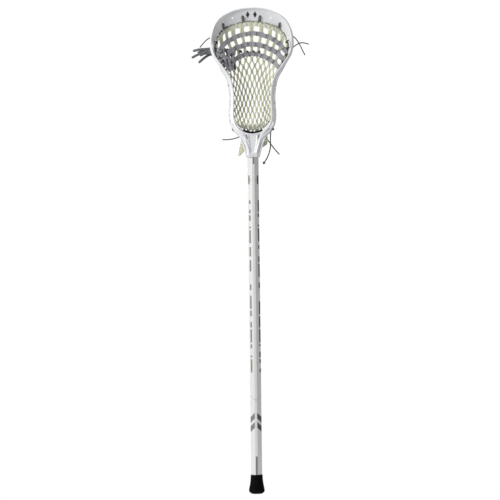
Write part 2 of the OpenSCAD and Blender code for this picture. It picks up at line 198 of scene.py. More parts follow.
class Builder:
    """Collects swept tubes and strips into one mesh. UVs count stitches along and round each one."""

    def __init__(self):
        self.points, self.faces, self.uvs, self.count = [], [], [], 0

    def grid(self, rings, uv, closed=False, tips=None):
        """Skin over rings of points. tips are the end points that close it."""
        rings = np.asarray(rings, float)
        along, around = uv
        n, m = rings.shape[:2]
        start = self.count
        self.points.append(rings.reshape(-1, 3))
        self.count += n * m
        for i in range(n if closed else n - 1):
            this, after = start + i * m, start + (i + 1) % n * m
            for k in range(m):
                q = (k + 1) % m
                self.faces.append((this + k, this + q, after + q, after + k))
                a, b, c, d = along[i], along[i + 1], around[k], around[k + 1]
                self.uvs += [(a, c), (a, d), (b, d), (b, c)]
        if tips is None:
            return
        for i, tip, flip in ((0, tips[0], True), (n - 1, tips[1], False)):
            self.points.append(np.asarray([tip], float))
            for k in range(m):
                a, b = start + i * m + k, start + i * m + (k + 1) % m
                self.faces.append((b, a, self.count) if flip else (a, b, self.count))
                pair = [(along[i], around[k + 1]), (along[i], around[k])]
                pair = pair if flip else pair[::-1]
                self.uvs += pair + [(along[i] + (-0.5 if flip else 0.5), around[k])]
            self.count += 1

    def sweep(self, path, section, fronts=None, closed=False, stitch=1.0, grow=None):
        """Sweeps a closed section, points (across, front), along a path. grow scales it at each point."""
        path = np.asarray(path, float)
        n = len(path)
        ahead = np.roll(path, -1, 0) - np.roll(path, 1, 0)
        if not closed:
            ahead[0], ahead[-1] = path[1] - path[0], path[-1] - path[-2]
        ahead /= np.linalg.norm(ahead, axis=1)[:, None]
        if fronts is None:
            seed = vec(0, -1, 0) if abs(ahead[0][1]) < 0.9 else vec(1, 0, 0)
            fronts = []
            for t in ahead:
                seed = unit(seed - seed @ t * t)
                fronts.append(seed)
            if closed:  # the twist left at the end is shared out along the loop
                last = unit(fronts[-1] - fronts[-1] @ ahead[0] * ahead[0])
                turn = math.atan2(np.cross(last, fronts[0]) @ ahead[0], last @ fronts[0])
                for i in range(n):
                    a, f, t = turn * i / n, fronts[i], ahead[i]
                    fronts[i] = f * math.cos(a) + np.cross(t, f) * math.sin(a)
        fronts = np.asarray(fronts, float)
        fronts = fronts - (fronts * ahead).sum(1)[:, None] * ahead
        fronts /= np.linalg.norm(fronts, axis=1)[:, None]
        sides = np.cross(ahead, fronts)
        section = np.asarray(section, float)
        size = np.ones(n) if grow is None else np.asarray(grow, float)
        places, shift, tips = np.arange(n), np.zeros(n), None
        if not closed:  # rounded ends
            reach = np.abs(section[:, 1]).max()
            cap = np.array([(math.cos(a), math.sin(a)) for a in (0.5, 1.05)])
            places = np.concatenate([[0, 0], places, [n - 1, n - 1]])
            size = np.concatenate([size[0] * cap[::-1, 0], size, size[-1] * cap[:, 0]])
            shift = np.concatenate([-reach * cap[::-1, 1], shift, reach * cap[:, 1]])
            tips = (path[0] - ahead[0] * reach, path[-1] + ahead[-1] * reach)
        centre = path[places] + ahead[places] * shift[:, None]
        rings = centre[:, None, :] + size[:, None, None] * (
            section[None, :, 0, None] * sides[places][:, None, :]
            + section[None, :, 1, None] * fronts[places][:, None, :]
        )
        steps = np.linalg.norm(np.diff(centre, axis=0), axis=1)
        along = np.concatenate([[0], np.cumsum(steps)]) / stitch
        if closed:
            total = along[-1] + np.linalg.norm(centre[0] - centre[-1]) / stitch
            along = np.concatenate([along, [total]]) * (max(1, round(total)) / total)
        edges = np.linalg.norm(np.roll(section, -1, 0) - section, axis=1)
        around = np.concatenate([[0], np.cumsum(edges)])
        around *= max(2, round(around[-1] / stitch)) / around[-1]
        self.grid(rings, (along, around), closed, tips)

    def tube(self, path, radius, sides=9, flat=1.0, stitch=0.9, **more):
        section = [(radius * math.cos(a), flat * radius * math.sin(a)) for a in angles(sides)]
        self.sweep(path, section, stitch=stitch, **more)

    def mesh(self, name, material):
        data = bpy.data.meshes.new(name)
        data.from_pydata((np.concatenate(self.points) * MM).tolist(), [], self.faces)
        layer = data.uv_layers.new(name="Stitches")
        layer.data.foreach_set("uv", np.asarray(self.uvs, np.float32).ravel())
        data.polygons.foreach_set("use_smooth", [True] * len(data.polygons))
        data.materials.append(material)
        return add_object(name, data)


def add_object(name, data):
    obj = bpy.data.objects.new(name, data)
    bpy.context.collection.objects.link(obj)
    return obj


def smooth_path(points, per=6):
    """Curve through given points, with per steps between each two."""
    p = np.asarray(points, float)
    p = np.vstack([2 * p[0] - p[1], p, 2 * p[-1] - p[-2]])
    out = [between(*p[i - 1 : i + 3], t) for i in range(1, len(p) - 2) for t in np.arange(per) / per]
    return np.array(out + [p[-2]])


def apply_modifiers(obj):
    """Fixes the modifiers into the mesh."""
    graph = bpy.context.evaluated_depsgraph_get()
    data = bpy.data.meshes.new_from_object(obj.evaluated_get(graph))
    obj.modifiers.clear()
    obj.data = data


def cut(obj, tools, operation="DIFFERENCE"):
    """Boolean of obj with each tool, which is removed afterwards."""
    for tool in tools:
        step = obj.modifiers.new("cut", "BOOLEAN")
        step.operation, step.solver, step.object = operation, "MANIFOLD", tool
        apply_modifiers(obj)
        bpy.data.objects.remove(tool)
    return obj


def coat(obj, material, sharp=None):
    """Gives a solid its one material and smooth shading, except over edges sharper than so many degrees."""
    obj.data.materials.clear()
    obj.data.materials.append(material)
    obj.data.polygons.foreach_set("use_smooth", [True] * len(obj.data.polygons))
    if sharp:
        obj.data.set_sharp_from_angle(angle=math.radians(sharp))


def solid(name, rings):
    """Closed solid between rings of points, each ring in the same order."""
    made = Builder()
    rings = np.asarray(rings, float)
    uv = (range(len(rings) + 1), range(rings.shape[1] + 1))
    made.grid(rings, uv, tips=(rings[0].mean(0), rings[-1].mean(0)))
    obj = made.mesh(name, plastic())
    volume = 0
    for face in obj.data.polygons:
        first, *rest = [obj.data.vertices[i].co for i in face.vertices]
        volume += sum(first.dot(a.cross(b)) for a, b in zip(rest, rest[1:]))
    if volume < 0:
        obj.data.flip_normals()
    return obj


def rod(name, start, end, radius, sides):
    """Plain cylinder between two points, used to cut holes."""
    start, end = np.asarray(start, float), np.asarray(end, float)
    t = unit(end - start)
    a = unit(np.cross(t, vec(0, 0, 1) if abs(t[2]) < 0.9 else vec(1, 0, 0)))
    b = np.cross(t, a)
    ring = [radius * (a * math.cos(w) + b * math.sin(w)) for w in angles(sides)]
    return solid(name, [[p + q for q in ring] for p in (start, end)])


def pin(name, y0, y1, z, radius, sides):
    """Rod from front to back on the middle line."""
    return rod(name, (0, y0, z), (0, y1, z), radius, sides)


def round_box(x0, x1, y0, y1, corner, steps):
    """Outline (x, y) of a box with round corners."""
    out = []
    right, left, back, front = x1 - corner, x0 + corner, y1 - corner, y0 + corner
    for quarter, (x, y) in enumerate([(right, back), (left, back), (left, front), (right, front)]):
        for w in math.pi / 2 * (quarter + np.linspace(0, 1, steps)):
            out.append((x + corner * math.cos(w), y + corner * math.sin(w)))
    return out


def eight_sided(w, d, f, s, corner, steps):
    """Outline (x, y) of an octagon, w by d, with faces f and s long, all halved, and rounded corners."""
    corners = [vec(*p) for p in ((f, -d), (w, -s), (w, s), (f, d), (-f, d), (-w, s), (-w, -s), (-f, -d))]
    out = []
    for i, p in enumerate(corners):
        a, b = (p + unit(q - p) * corner for q in (corners[i - 1], corners[(i + 1) % 8]))
        out += [(1 - t) ** 2 * a + 2 * t * (1 - t) * p + t * t * b for t in np.linspace(0, 1, steps)]
    return out


def octagon(grow=0.0, corner=1.1):
    """The shaft's outline as points (x, y)."""
    front, side = (SHAFT_FRONT + 0.9 * grow) / 2, (SHAFT_SIDE + 0.9 * grow) / 2
    return eight_sided(SHAFT_W / 2 + grow, SHAFT_D / 2 + grow, front, side, corner, 4)


def at_height(outline, z):
    """Ring of points at one height."""
    return [vec(x, y, z) for x, y in outline]


def round_throat(radius, angle, y):
    """Point at an angle round the middle of the throat, 0 at the lowest place."""
    return vec(radius * math.sin(angle), y, THROAT_Z - radius * math.cos(angle))


# ---------------------------------------------------------------- materials


class Nodes:
    """Short names for the shader nodes that the materials are made of."""

    def __init__(self, name):
        self.material = bpy.data.materials.new(name)
        self.material.use_nodes = True
        self.tree = self.material.node_tree
        self.shader = self.tree.nodes["Principled BSDF"]

    def new(self, kind, **settings):
        node = self.tree.nodes.new(kind)
        for key, value in settings.items():
            setattr(node, key, value)
        return node

    def put(self, socket, value):
        if isinstance(value, bpy.types.NodeSocket):
            self.tree.links.new(value, socket)
        else:
            socket.default_value = value

    def math(self, operation, a, b=0.0):
        node = self.new("ShaderNodeMath", operation=operation)
        self.put(node.inputs[0], a)
        self.put(node.inputs[1], b)
        return node.outputs[0]

    def add(self, a, b):
        return self.math("ADD", a, b)

    def minus(self, a, b):
        return self.math("SUBTRACT", a, b)

    def times(self, a, b):
        return self.math("MULTIPLY", a, b)

    def away(self, value, middle):
        """Distance from middle."""
        return self.math("ABSOLUTE", self.minus(value, middle))

    def split(self, vector):
        """X, Y and Z of a vector."""
        parts = self.new("ShaderNodeSeparateXYZ")
        self.put(parts.inputs[0], vector)
        return list(parts.outputs)

    def where(self):
        return self.new("ShaderNodeTexCoord").outputs["Object"]

    def place(self):
        """X, Y and Z in millimetres."""
        return [self.times(part, 1000.0) for part in self.split(self.where())]

    def noise(self, scale, detail=3.0):
        """Noise from 0 to 1, scale is in grains per metre."""
        node = self.new("ShaderNodeTexNoise")
        self.put(node.inputs["Vector"], self.where())
        self.put(node.inputs["Scale"], scale)
        self.put(node.inputs["Detail"], detail)
        return node.outputs["Fac"]

    def ramp(self, value, low, high):
        """0 below low, 1 above high, smooth between."""
        node = self.new("ShaderNodeMapRange", interpolation_type="SMOOTHSTEP")
        for socket, number in zip(node.inputs, (value, low, high, 0.0, 1.0)):
            self.put(socket, number)
        return node.outputs[0]

    def band(self, value, middle, half, soft=0.15):
        """1 within half of middle, 0 outside."""
        return self.minus(1.0, self.ramp(self.away(value, middle), half - soft, half + soft))

    def mix(self, amount, a, b):
        """Colour a where amount is 0 and b where it is 1."""
        node = self.new("ShaderNodeMix", data_type="RGBA")
        for socket, value in zip((node.inputs[0], node.inputs[6], node.inputs[7]), (amount, a, b)):
            self.put(socket, (*value, 1) if isinstance(value, tuple) else value)
        return node.outputs[2]

    def stitches(self):
        """Height from 0 to 1 of a braid, from the stitch counts in the UVs."""
        along, around, _ = self.split(self.new("ShaderNodeUVMap", uv_map="Stitches").outputs[0])
        one = self.math("SINE", self.times(self.add(along, around), math.pi))
        two = self.math("SINE", self.times(self.minus(along, around), math.pi))
        return self.math("ABSOLUTE", self.times(one, two))

    def bump(self, height, distance, strength, under=None):
        node = self.new("ShaderNodeBump")
        self.put(node.inputs["Distance"], distance * MM)
        self.put(node.inputs["Strength"], strength)
        self.put(node.inputs["Height"], height)
        if under is not None:
            self.put(node.inputs["Normal"], under)
        return node.outputs[0]

    def done(self, colour, rough, normal=None, **numbers):
        self.put(self.shader.inputs["Base Color"], colour)
        self.put(self.shader.inputs["Roughness"], rough)
        if normal is not None:
            self.put(self.shader.inputs["Normal"], normal)
        for name, value in numbers.items():
            self.put(self.shader.inputs[name.replace("_", " ")], value)
        return self.material


def once(make):
    """A material is made once, for each name of a cord, and then shared."""
    made = {}

    def get(*name):
        if name not in made:
            made[name] = make(*name)
        return made[name]

    return get


@once
def plastic():
    """White moulded nylon, with two plain black diamonds printed inside the scoop."""
    n = Nodes("moulded_nylon")
    x, _, z = n.place()
    wide = n.math("DIVIDE", n.away(n.math("ABSOLUTE", x), 7.6), 3.9)
    tall = n.math("DIVIDE", n.away(z, 1001.0), 7.2)
    mark = n.minus(1.0, n.ramp(n.add(wide, tall), 0.93, 1.05))
    facing = n.split(n.new("ShaderNodeNewGeometry").outputs["Normal"])
    mark = n.times(mark, n.math("LESS_THAN", facing[1], -0.1))
    cloud = n.noise(55)
    white = n.mix(cloud, (0.73, 0.735, 0.755), (0.81, 0.81, 0.825))
    scuff = n.ramp(n.noise(380, 6), 0.66, 0.8)
    white = n.mix(n.times(scuff, 0.2), white, (0.6, 0.6, 0.61))
    grain = n.noise(2600, 2)
    rough = n.add(n.times(grain, 0.16), 0.26)
    normal = n.bump(grain, 0.05, 0.35, n.bump(cloud, 0.3, 0.2))
    return n.done(n.mix(mark, white, (0.012, 0.012, 0.014)), rough, normal, IOR=1.53)


# Cords: colour of the stitches, colour between them, height of a stitch and roughness
CORDS = {
    "knitted_mesh": ((0.89, 0.895, 0.665), (0.65, 0.66, 0.44), 0.35, 0.68),
    # the lighter copy of the knitted mesh is painted light: it lifts the shade on the rolled rows under the
    # lip and on the flaps' back layers
    "knitted_mesh_folds": ((0.94, 0.94, 0.80), (0.70, 0.71, 0.54), 0.35, 0.72),
    "braided_string": ((0.125, 0.135, 0.125), (0.035, 0.04, 0.037), 0.3, 0.6),
    "dark_string": ((0.07, 0.075, 0.07), (0.018, 0.02, 0.018), 0.3, 0.6),
    "scoop_string": ((0.22, 0.23, 0.19), (0.04, 0.044, 0.035), 0.3, 0.6),
    "edge_string": ((0.64, 0.65, 0.52), (0.28, 0.29, 0.22), 0.3, 0.6),
    "rolled_lace": ((0.26, 0.27, 0.275), (0.10, 0.105, 0.11), 0.35, 0.66),
    "string_ends": ((0.15, 0.165, 0.155), (0.05, 0.055, 0.05), 0.3, 0.6),
}


@once
def braid(name):
    """Braided or knitted cord: raised stitches, darker between them, with stray fibre noise."""
    light, dark, depth, rough = CORDS[name]
    n = Nodes(name)
    stitch, fibre = n.stitches(), n.noise(900, 4)
    tone = n.add(n.times(n.ramp(stitch, 0.05, 0.6), 0.75), n.times(fibre, 0.3))
    half_way = tuple(0.5 * (a + b) for a, b in zip(light, dark))
    dirt = n.mix(n.ramp(n.noise(42), 0.35, 0.7), light, half_way)
    normal = n.bump(n.add(stitch, n.times(fibre, 0.5)), depth, 0.8)
    return n.done(n.mix(tone, dark, dirt), n.add(rough, n.times(fibre, 0.15)), normal, Sheen_Weight=0.3)


@once
def lace():
    """Flat woven lace: mauve grey herringbone."""
    n = Nodes("woven_lace")
    stitch, fibre = n.stitches(), n.noise(1100, 4)
    tone = n.add(n.times(n.ramp(stitch, 0.05, 0.7), 0.6), n.times(fibre, 0.5))
    light = n.mix(n.ramp(n.noise(60), 0.35, 0.7), (0.60, 0.595, 0.635), (0.48, 0.475, 0.51))
    normal = n.bump(n.add(stitch, n.times(fibre, 0.5)), 0.3, 0.8)
    rough = n.add(0.7, n.times(fibre, 0.12))
    return n.done(n.mix(tone, (0.19, 0.188, 0.21), light), rough, normal, Sheen_Weight=0.25)


@once
def foam():
    """Black closed-cell foam with fine pores."""
    n = Nodes("stop_foam")
    cell = n.new("ShaderNodeTexVoronoi")
    n.put(cell.inputs["Vector"], n.where())
    n.put(cell.inputs["Scale"], 1500)
    pore = cell.outputs["Distance"]
    colour = n.mix(pore, (0.004, 0.004, 0.005), (0.022, 0.022, 0.024))
    rough = n.add(0.8, n.times(pore, 0.15))
    return n.done(colour, rough, n.bump(pore, 0.3, 0.7), Specular_IOR_Level=0.12)


@once
def rubber():
    """Black moulded rubber with a fine matt grain and a few pale rubs."""
    n = Nodes("cap_rubber")
    grain = n.noise(3200, 3)
    rub = n.ramp(n.noise(160, 6), 0.6, 0.75)
    colour = n.mix(rub, (0.0015, 0.0015, 0.0015), (0.007, 0.007, 0.007))
    rough = n.add(0.58, n.times(grain, 0.25))
    return n.done(colour, rough, n.bump(grain, 0.12, 0.6), Specular_IOR_Level=0.06)


@once
def steel():
    """Turned steel with fine rings."""
    n = Nodes("screw_steel")
    x, y, z = n.place()
    dz = n.minus(z, SCREW_Z)
    far = n.math("SQRT", n.add(n.times(x, x), n.times(dz, dz)))
    ring = n.math("SINE", n.times(n.add(far, n.times(y, 0.6)), 28.0))
    spot = n.noise(900, 4)
    colour = n.mix(spot, (0.42, 0.42, 0.43), (0.6, 0.6, 0.61))
    rough = n.add(0.22, n.times(spot, 0.2))
    return n.done(colour, rough, n.bump(ring, 0.04, 0.5), Metallic=1.0)


# Dashes printed on the front chamfers of the shaft: the top and the length of each
DASHES_LEFT = [
    (613, 8), (592.5, 8), (581, 12.5), (557.5, 6.5), (547.5, 27), (514.5, 22), (488, 26), (435, 12),
    (411, 27), (380, 11), (356, 12), (340, 26), (309, 6), (288, 6), (279, 27),
]
DASHES_RIGHT = [
    (613, 26), (582.5, 6.5), (562, 6), (552, 28), (519, 11), (494, 11), (480, 28), (439, 13),
    (401, 28), (370, 24), (342, 28), (311, 6), (294, 12), (279, 6.5), (259, 8),
]
MARK_Z = 656.0  # middle of the bars, the ring and the oval


@once
def shaft_paint():
    """White painted aluminium with plain grey prints: dashes, bars, a ring, chevrons and a faint zigzag."""
    n = Nodes("shaft_paint")
    x, y, z = n.place()
    front, left = n.math("LESS_THAN", y, 0.0), n.math("LESS_THAN", x, 0.0)
    across = n.math("ABSOLUTE", x)

    def joined(operation, first, *rest):
        for value in rest:
            first = n.math(operation, first, value)
        return first

    def both(*marks):
        return joined("MULTIPLY", *marks)

    def most(*marks):
        return joined("MAXIMUM", *marks)

    def dashes(marks):
        """1 on the dashes: pairs of the top and the length of each, down the shaft."""
        steps = n.new("ShaderNodeValToRGB")
        stops = steps.color_ramp
        stops.interpolation = "CONSTANT"
        n.put(steps.inputs[0], n.math("DIVIDE", z, 1000.0))
        stops.elements[0].color = (0, 0, 0, 1)
        stops.elements.remove(stops.elements[1])
        for top, length in reversed(marks):
            stops.elements.new((top - length) * MM).color = (1, 1, 1, 1)
            stops.elements.new(top * MM).color = (0, 0, 0, 1)
        return n.math("GREATER_THAN", steps.outputs[0], 0.5)

    def square(value, size):
        return n.math("POWER", n.math("DIVIDE", value, size), 2.0)

    dashed = both(n.band(x, -7.9, 1.6), dashes(DASHES_LEFT))
    dashed = most(dashed, both(n.band(x, 10.0, 1.5), dashes(DASHES_RIGHT)))
    bars = both(n.band(across, 9.0, 1.4), n.band(z, MARK_Z, 9.4, 0.3))
    ring = both(n.band(n.away(z, MARK_Z), 2.1, 0.5), n.ramp(across, 6.6, 7.0))
    reach = n.math("SQRT", n.add(square(across, 7.0), square(n.away(z, MARK_Z), 2.4)))
    oval = n.band(reach, 1.0, 0.16, 0.08)
    crown = both(n.band(x, 0.8, 1.6), n.band(z, 697.5, 9.0, 0.4))
    foot = both(n.band(x, 0.4, 2.1), n.band(z, 58.5, 20, 0.4))
    peak = n.add(z, across)
    chevrons = both(most(n.band(peak, 166, 6.1, 0.4), n.band(peak, 147, 6.1, 0.4)), n.ramp(across, 2.3, 2.6))
    vee = n.minus(z, n.times(across, 1.15))
    faint = most(oval, n.band(vee, 193.5, 0.7, 0.4), both(n.band(z, 197.5, 0.5, 0.4), n.band(across, 0, 5.5)))
    white = n.mix(n.noise(30), (0.715, 0.715, 0.695), (0.765, 0.765, 0.745))
    speck = n.ramp(n.noise(700, 5), 0.7, 0.78)
    white = n.mix(n.times(speck, 0.3), white, (0.6, 0.6, 0.61))
    tone = n.mix(left, (0.075, 0.075, 0.07), (0.22, 0.22, 0.205))
    colour = n.mix(n.times(faint, 0.6), white, (0.42, 0.42, 0.41))
    colour = n.mix(both(front, most(dashed, bars, ring, chevrons)), colour, tone)
    colour = n.mix(both(front, most(crown, foot)), colour, (0.19, 0.188, 0.195))
    orange_peel = n.bump(n.noise(420, 2), 0.08, 0.25)
    rough = n.add(0.24, n.times(n.noise(1500, 3), 0.14))
    return n.done(colour, rough, orange_peel, Coat_Weight=0.25, Coat_Roughness=0.2)


# ---------------------------------------------------------------- frame, camera and light


CAMERA_ROLL = 0.67
FLOOR_Z, FLOOR_R = -0.1, 0.6


def make_camera():
    data = bpy.data.cameras.new("camera")
    camera = add_object("camera", data)
    away = 9.0
    seen = 1.045  # metres of the stick's plane from the top of the frame to the bottom
    data.sensor_width = 36
    data.lens = data.sensor_width * away / seen
    data.clip_start, data.clip_end = 0.5, 60
    camera.location = (-0.0085, -away, 0.5095)
    camera.rotation_euler = (math.radians(90), math.radians(CAMERA_ROLL), 0)
    bpy.context.scene.camera = camera


def area_light(name, place, aim, size, power):
    data = bpy.data.lights.new(name, "AREA")
    data.shape, data.size, data.energy = "DISK", size, power
    light = add_object(name, data)
    light.location = place
    toward = np.array(aim, float) - np.array(place, float)
    flat = math.hypot(toward[0], toward[1])
    light.rotation_euler = (math.atan2(flat, -toward[2]), 0, math.atan2(-toward[0], toward[1]))


def make_light():
    scene = bpy.context.scene
    scene.view_settings.view_transform = "Standard"
    world = bpy.data.worlds.new("studio")
    scene.world = world
    world.use_nodes = True
    new, link = world.node_tree.nodes.new, world.node_tree.links.new
    soft = world.node_tree.nodes["Background"]
    soft.inputs[0].default_value = (0.97, 0.985, 1.0, 1)
    height = new("ShaderNodeSeparateXYZ")
    link(new("ShaderNodeTexCoord").outputs["Generated"], height.inputs[0])
    glow = new("ShaderNodeMapRange")  # the soft light is stronger from below
    link(height.outputs[2], glow.inputs[0])
    for socket, value in zip(glow.inputs[1:], (-1.0, 1.0, 0.62, 0.14)):
        socket.default_value = value
    link(glow.outputs[0], soft.inputs[1])
    seen = new("ShaderNodeBackground")
    seen.inputs[0].default_value = (1, 1, 1, 1)
    seen.inputs[1].default_value = 1.02
    mix = new("ShaderNodeMixShader")
    link(new("ShaderNodeLightPath").outputs["Is Camera Ray"], mix.inputs[0])
    link(soft.outputs[0], mix.inputs[1])
    link(seen.outputs[0], mix.inputs[2])
    link(mix.outputs[0], world.node_tree.nodes["World Output"].inputs[0])
    area_light("key", (-2.4, -1.45, 1.4), (0, 0, 1.6), 1.0, 70)
    area_light("fill", (1.2, -4.5, 1.0), (0, 0, 0.55), 2.0, 12)
    data = bpy.data.lights.new("over", "SUN")
    data.energy, data.angle = 1.9, math.radians(50)
    add_object("over", data)


def make_floor():
    """Round pale floor that fades out at its edge, below the end cap when it is pulled off."""
    count = 96
    ring = [(FLOOR_R * math.cos(a), FLOOR_R * math.sin(a), FLOOR_Z) for a in angles(count)]
    data = bpy.data.meshes.new("floor")
    data.from_pydata([(0, 0, FLOOR_Z), *ring], [], [(0, i + 1, (i + 1) % count + 1) for i in range(count)])
    n = Nodes("floor_paper")
    x, y, _ = n.place()
    reach = n.math("SQRT", n.add(n.times(x, x), n.times(y, y)))
    n.put(n.shader.inputs["Alpha"], n.minus(1.0, n.ramp(reach, 120.0, 600.0)))
    data.materials.append(n.done(n.mix(n.noise(3), (0.93, 0.93, 0.93), (0.95, 0.95, 0.95)), 0.9))
    add_object("floor", data)


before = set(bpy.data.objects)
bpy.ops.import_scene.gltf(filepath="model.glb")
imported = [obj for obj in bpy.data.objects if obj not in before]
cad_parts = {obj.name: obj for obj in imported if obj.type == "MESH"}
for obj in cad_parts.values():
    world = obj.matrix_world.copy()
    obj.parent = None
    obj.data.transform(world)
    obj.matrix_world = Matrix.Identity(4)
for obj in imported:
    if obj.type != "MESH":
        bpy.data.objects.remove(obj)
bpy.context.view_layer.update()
make_camera()
make_light()
make_floor()


def keep(obj, body="stick", *nodes, slot=None):
    """The piece rides on a body and stands for CAD nodes, which are hidden. slot is not used."""
    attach(obj, body)
    if nodes:
        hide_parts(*nodes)
    return obj


# ---------------------------------------------------------------- loose ends

# Each route is a list of [x, y, drop below the tip of the scoop], as in part.scad
ROUTES = {
    "top_string_tail_left": [
        [-75, 19, 60], [-80, 25, 59], [-87, 28, 60.5], [-94, 26, 65], [-101, 22, 72], [-108, 18, 80.5]
    ],
    "lace_tail_upper": [
        [-78, 26, 82], [-86, 30, 83], [-94, 30, 84], [-103, 27, 84.5], [-112, 24, 85.5], [-121, 21, 88]
    ],
    "lace_tail_middle": [
        [-76, 31, 88.5], [-84, 35, 88.5], [-94, 36, 89.5], [-104, 33, 92], [-114, 29, 96], [-124, 26, 101.5]
    ],
    "lace_tail_lower": [
        [-75, 33, 95.5], [-82, 38, 95], [-89, 39, 96], [-97, 36, 100.5], [-104, 31, 106], [-110, 26, 111.5]
    ],
    "top_string_tail_right": [
        [75, 19, 62], [82, 25, 60], [89, 28, 61], [95, 25, 68], [101, 21, 78], [106, 18, 89], [111, 16, 99]
    ],
    "sidewall_tail_top_right": [
        [78, 27, 86], [85, 32, 84], [91, 34, 79], [98, 34, 75], [105, 33, 73], [112, 32, 74], [119, 31, 76]
    ],
    "sidewall_tail_bottom_left": [
        [-27, 38, 251], [-25, 39, 257], [-25, 37, 264], [-28, 34, 268.5], [-35, 32, 271.5], [-43, 31, 273.5],
        [-53, 30, 274.5], [-63, 30, 274.5],
    ],
    "sidewall_tail_bottom_right": [
        [39, 35, 245], [39, 40, 250], [38, 42, 259], [37, 42, 273], [37, 41, 288], [35, 39, 300],
        [30, 37, 313], [23, 36, 324],
    ],
    "bottom_string_tail_right": [
        [27, 38, 251], [25, 39, 258], [26, 38, 266], [30, 36, 274], [38, 35, 285], [46, 35, 296],
        [55, 35, 306],
    ],
}
# Middle line of the lace wound round the lace ends, as in ROUTES, and how often it goes round
HANK = [[-84, 33, 87.5], [-92, 34.5, 88.5], [-101, 32, 91], [-110, 29, 94.5]]
HANK_TURNS = 4.5


def route(points, per=6):
    """Curve through points given as in ROUTES."""
    return smooth_path([[x, y, TOP - drop] for x, y, drop in points], per)


def ribbon_section(width, thick=1.25):
    """Flat woven band with a thicker edge on each side."""
    out = []
    for a in angles(22):
        c, s = math.cos(a), math.sin(a)
        x = width / 2 * math.copysign(abs(c) ** 0.55, c)
        rim_up = 0.2 * math.exp(-(((abs(x) - width / 2 + 0.9) / 0.6) ** 2))
        out.append((x, (thick / 2 + rim_up) * math.copysign(abs(s) ** 0.7, s)))
    return out


def knot(made, centre, size, radius, turn, front=None):
    """Tight knot: a three-lobed closed loop of cord, size across and turned about its front."""
    front = vec(0, -1, 0) if front is None else front
    across = unit(np.cross(front, vec(0, 0, 1)))
    up = np.cross(across, front)
    loop = []
    for a in angles(42):
        x, y = math.sin(a) + 2 * math.sin(2 * a), math.cos(a) - 2 * math.cos(2 * a)
        x, y = x * math.cos(turn) - y * math.sin(turn), x * math.sin(turn) + y * math.cos(turn)
        loop.append(centre + (across * x + up * y) * size / 6 - front * math.sin(3 * a) * radius * 0.95)
    made.tube(loop, radius, 8, closed=True)


def make_hank():
    """Spare lace wound round the loose lace ends, just outside the rail."""
    made = Builder()
    core = route(HANK, 16)
    made.tube(core[2:-2], 3.9, 16)
    path, fronts = [], []
    for i, p in enumerate(core):
        along = unit(core[min(i + 1, len(core) - 1)] - core[max(i - 1, 0)])
        side = unit(np.cross(along, vec(0, 1, 0)))
        a = HANK_TURNS * 2 * math.pi * i / (len(core) - 1)
        out = side * math.cos(a) + np.cross(along, side) * math.sin(a)
        path.append(p + out * (6.0 - 1.6 * i / len(core) + 0.5 * math.sin(2.3 * a)))
        fronts.append(out)
    made.sweep(path, ribbon_section(6.4, 2.2), fronts=fronts)
    return keep(made.mesh("lace_end_hank", braid("rolled_lace")), slot="lace_cotton")


def make_tails():
    for name, points in ROUTES.items():
        rolled, knotted = name.startswith("lace"), name == "sidewall_tail_bottom_right"
        wide, finish = (LACE_D, "rolled_lace") if rolled else (STRING_D, "string_ends")
        path = route(points)
        made = Builder()
        made.tube(path, wide / 2, 14)
        cord = keep(made.mesh(name.replace("tail", "end"), braid(finish)), "stick", name)
        ends = []
        if knotted:
            tied = Builder()
            knot(tied, path[-1], 4.6, 0.95, 0.4)
            ends = [keep(tied.mesh("string_end_knot", braid("string_ends")), slot="string_nylon")]
        if name == "lace_tail_middle":
            ends = [make_hank()]


make_tails()


# ---------------------------------------------------------------- head


def wall_ring(s):
    """Section of the wall with a rail on each edge, at station s."""
    st = station(abs(s))
    y0, y1 = st[2], st[3]
    f0, f1, b0, b1 = st[4], st[4] + st[6], st[5], st[5] + BACK_W
    fw, bw = f0 + 1, b0 + 1
    tilt = 3 * min(1, max(0, (abs(s) - 2.5) / 2))  # the front rail slopes back to the outside
    outline = [
        (f0, y0 + 1.5 + tilt), (f0 + 0.5, y0 + 0.5 + 0.95 * tilt), (f0 + 1.5, y0 + 0.8 * tilt),
        (f1 - 1.5, y0), (f1 - 0.5, y0 + 0.2), (f1, y0 + 1), (f1, y0 + FRONT_H - 1),
        (f1 - 0.5, y0 + FRONT_H), (fw + WALL, y0 + FRONT_H + 1), (bw + WALL, y1 - BACK_H - 1),
        (b1 - 0.4, y1 - BACK_H), (b1, y1 - BACK_H + 0.5), (b1, y1 - 1), (b1 - 0.3, y1 - 0.3), (b1 - 1, y1),
        (b0 + 1, y1), (b0 + 0.3, y1 - 0.3), (b0, y1 - 1), (b0, y1 - BACK_H), (bw, y1 - BACK_H - 1),
        (fw, y0 + FRONT_H + 1.5 + 0.5 * tilt), (f0, y0 + FRONT_H - 0.5 + 0.7 * tilt),
    ]
    return [rim(s, a, y) for a, y in outline]


WINDOWS = [4.35, 5.15, 5.95, 6.8, 7.6, 8.35, 9.1, 9.9, 10.7]
SCOOP_LOOPS = [-2.2, -0.57, 0.57, 2.2]
SCOOP_PLAIN = [-1.28, 1.28]
LOOP_K = 0.58  # how far down the scoop's face the loops' holes are
SIDE_HOLES = np.arange(3.9, 10.61, 0.6)


def string_hole_y(st):
    """Depth of the string hole in the sidewall at a station."""
    return st[3] - BACK_H - 0.6


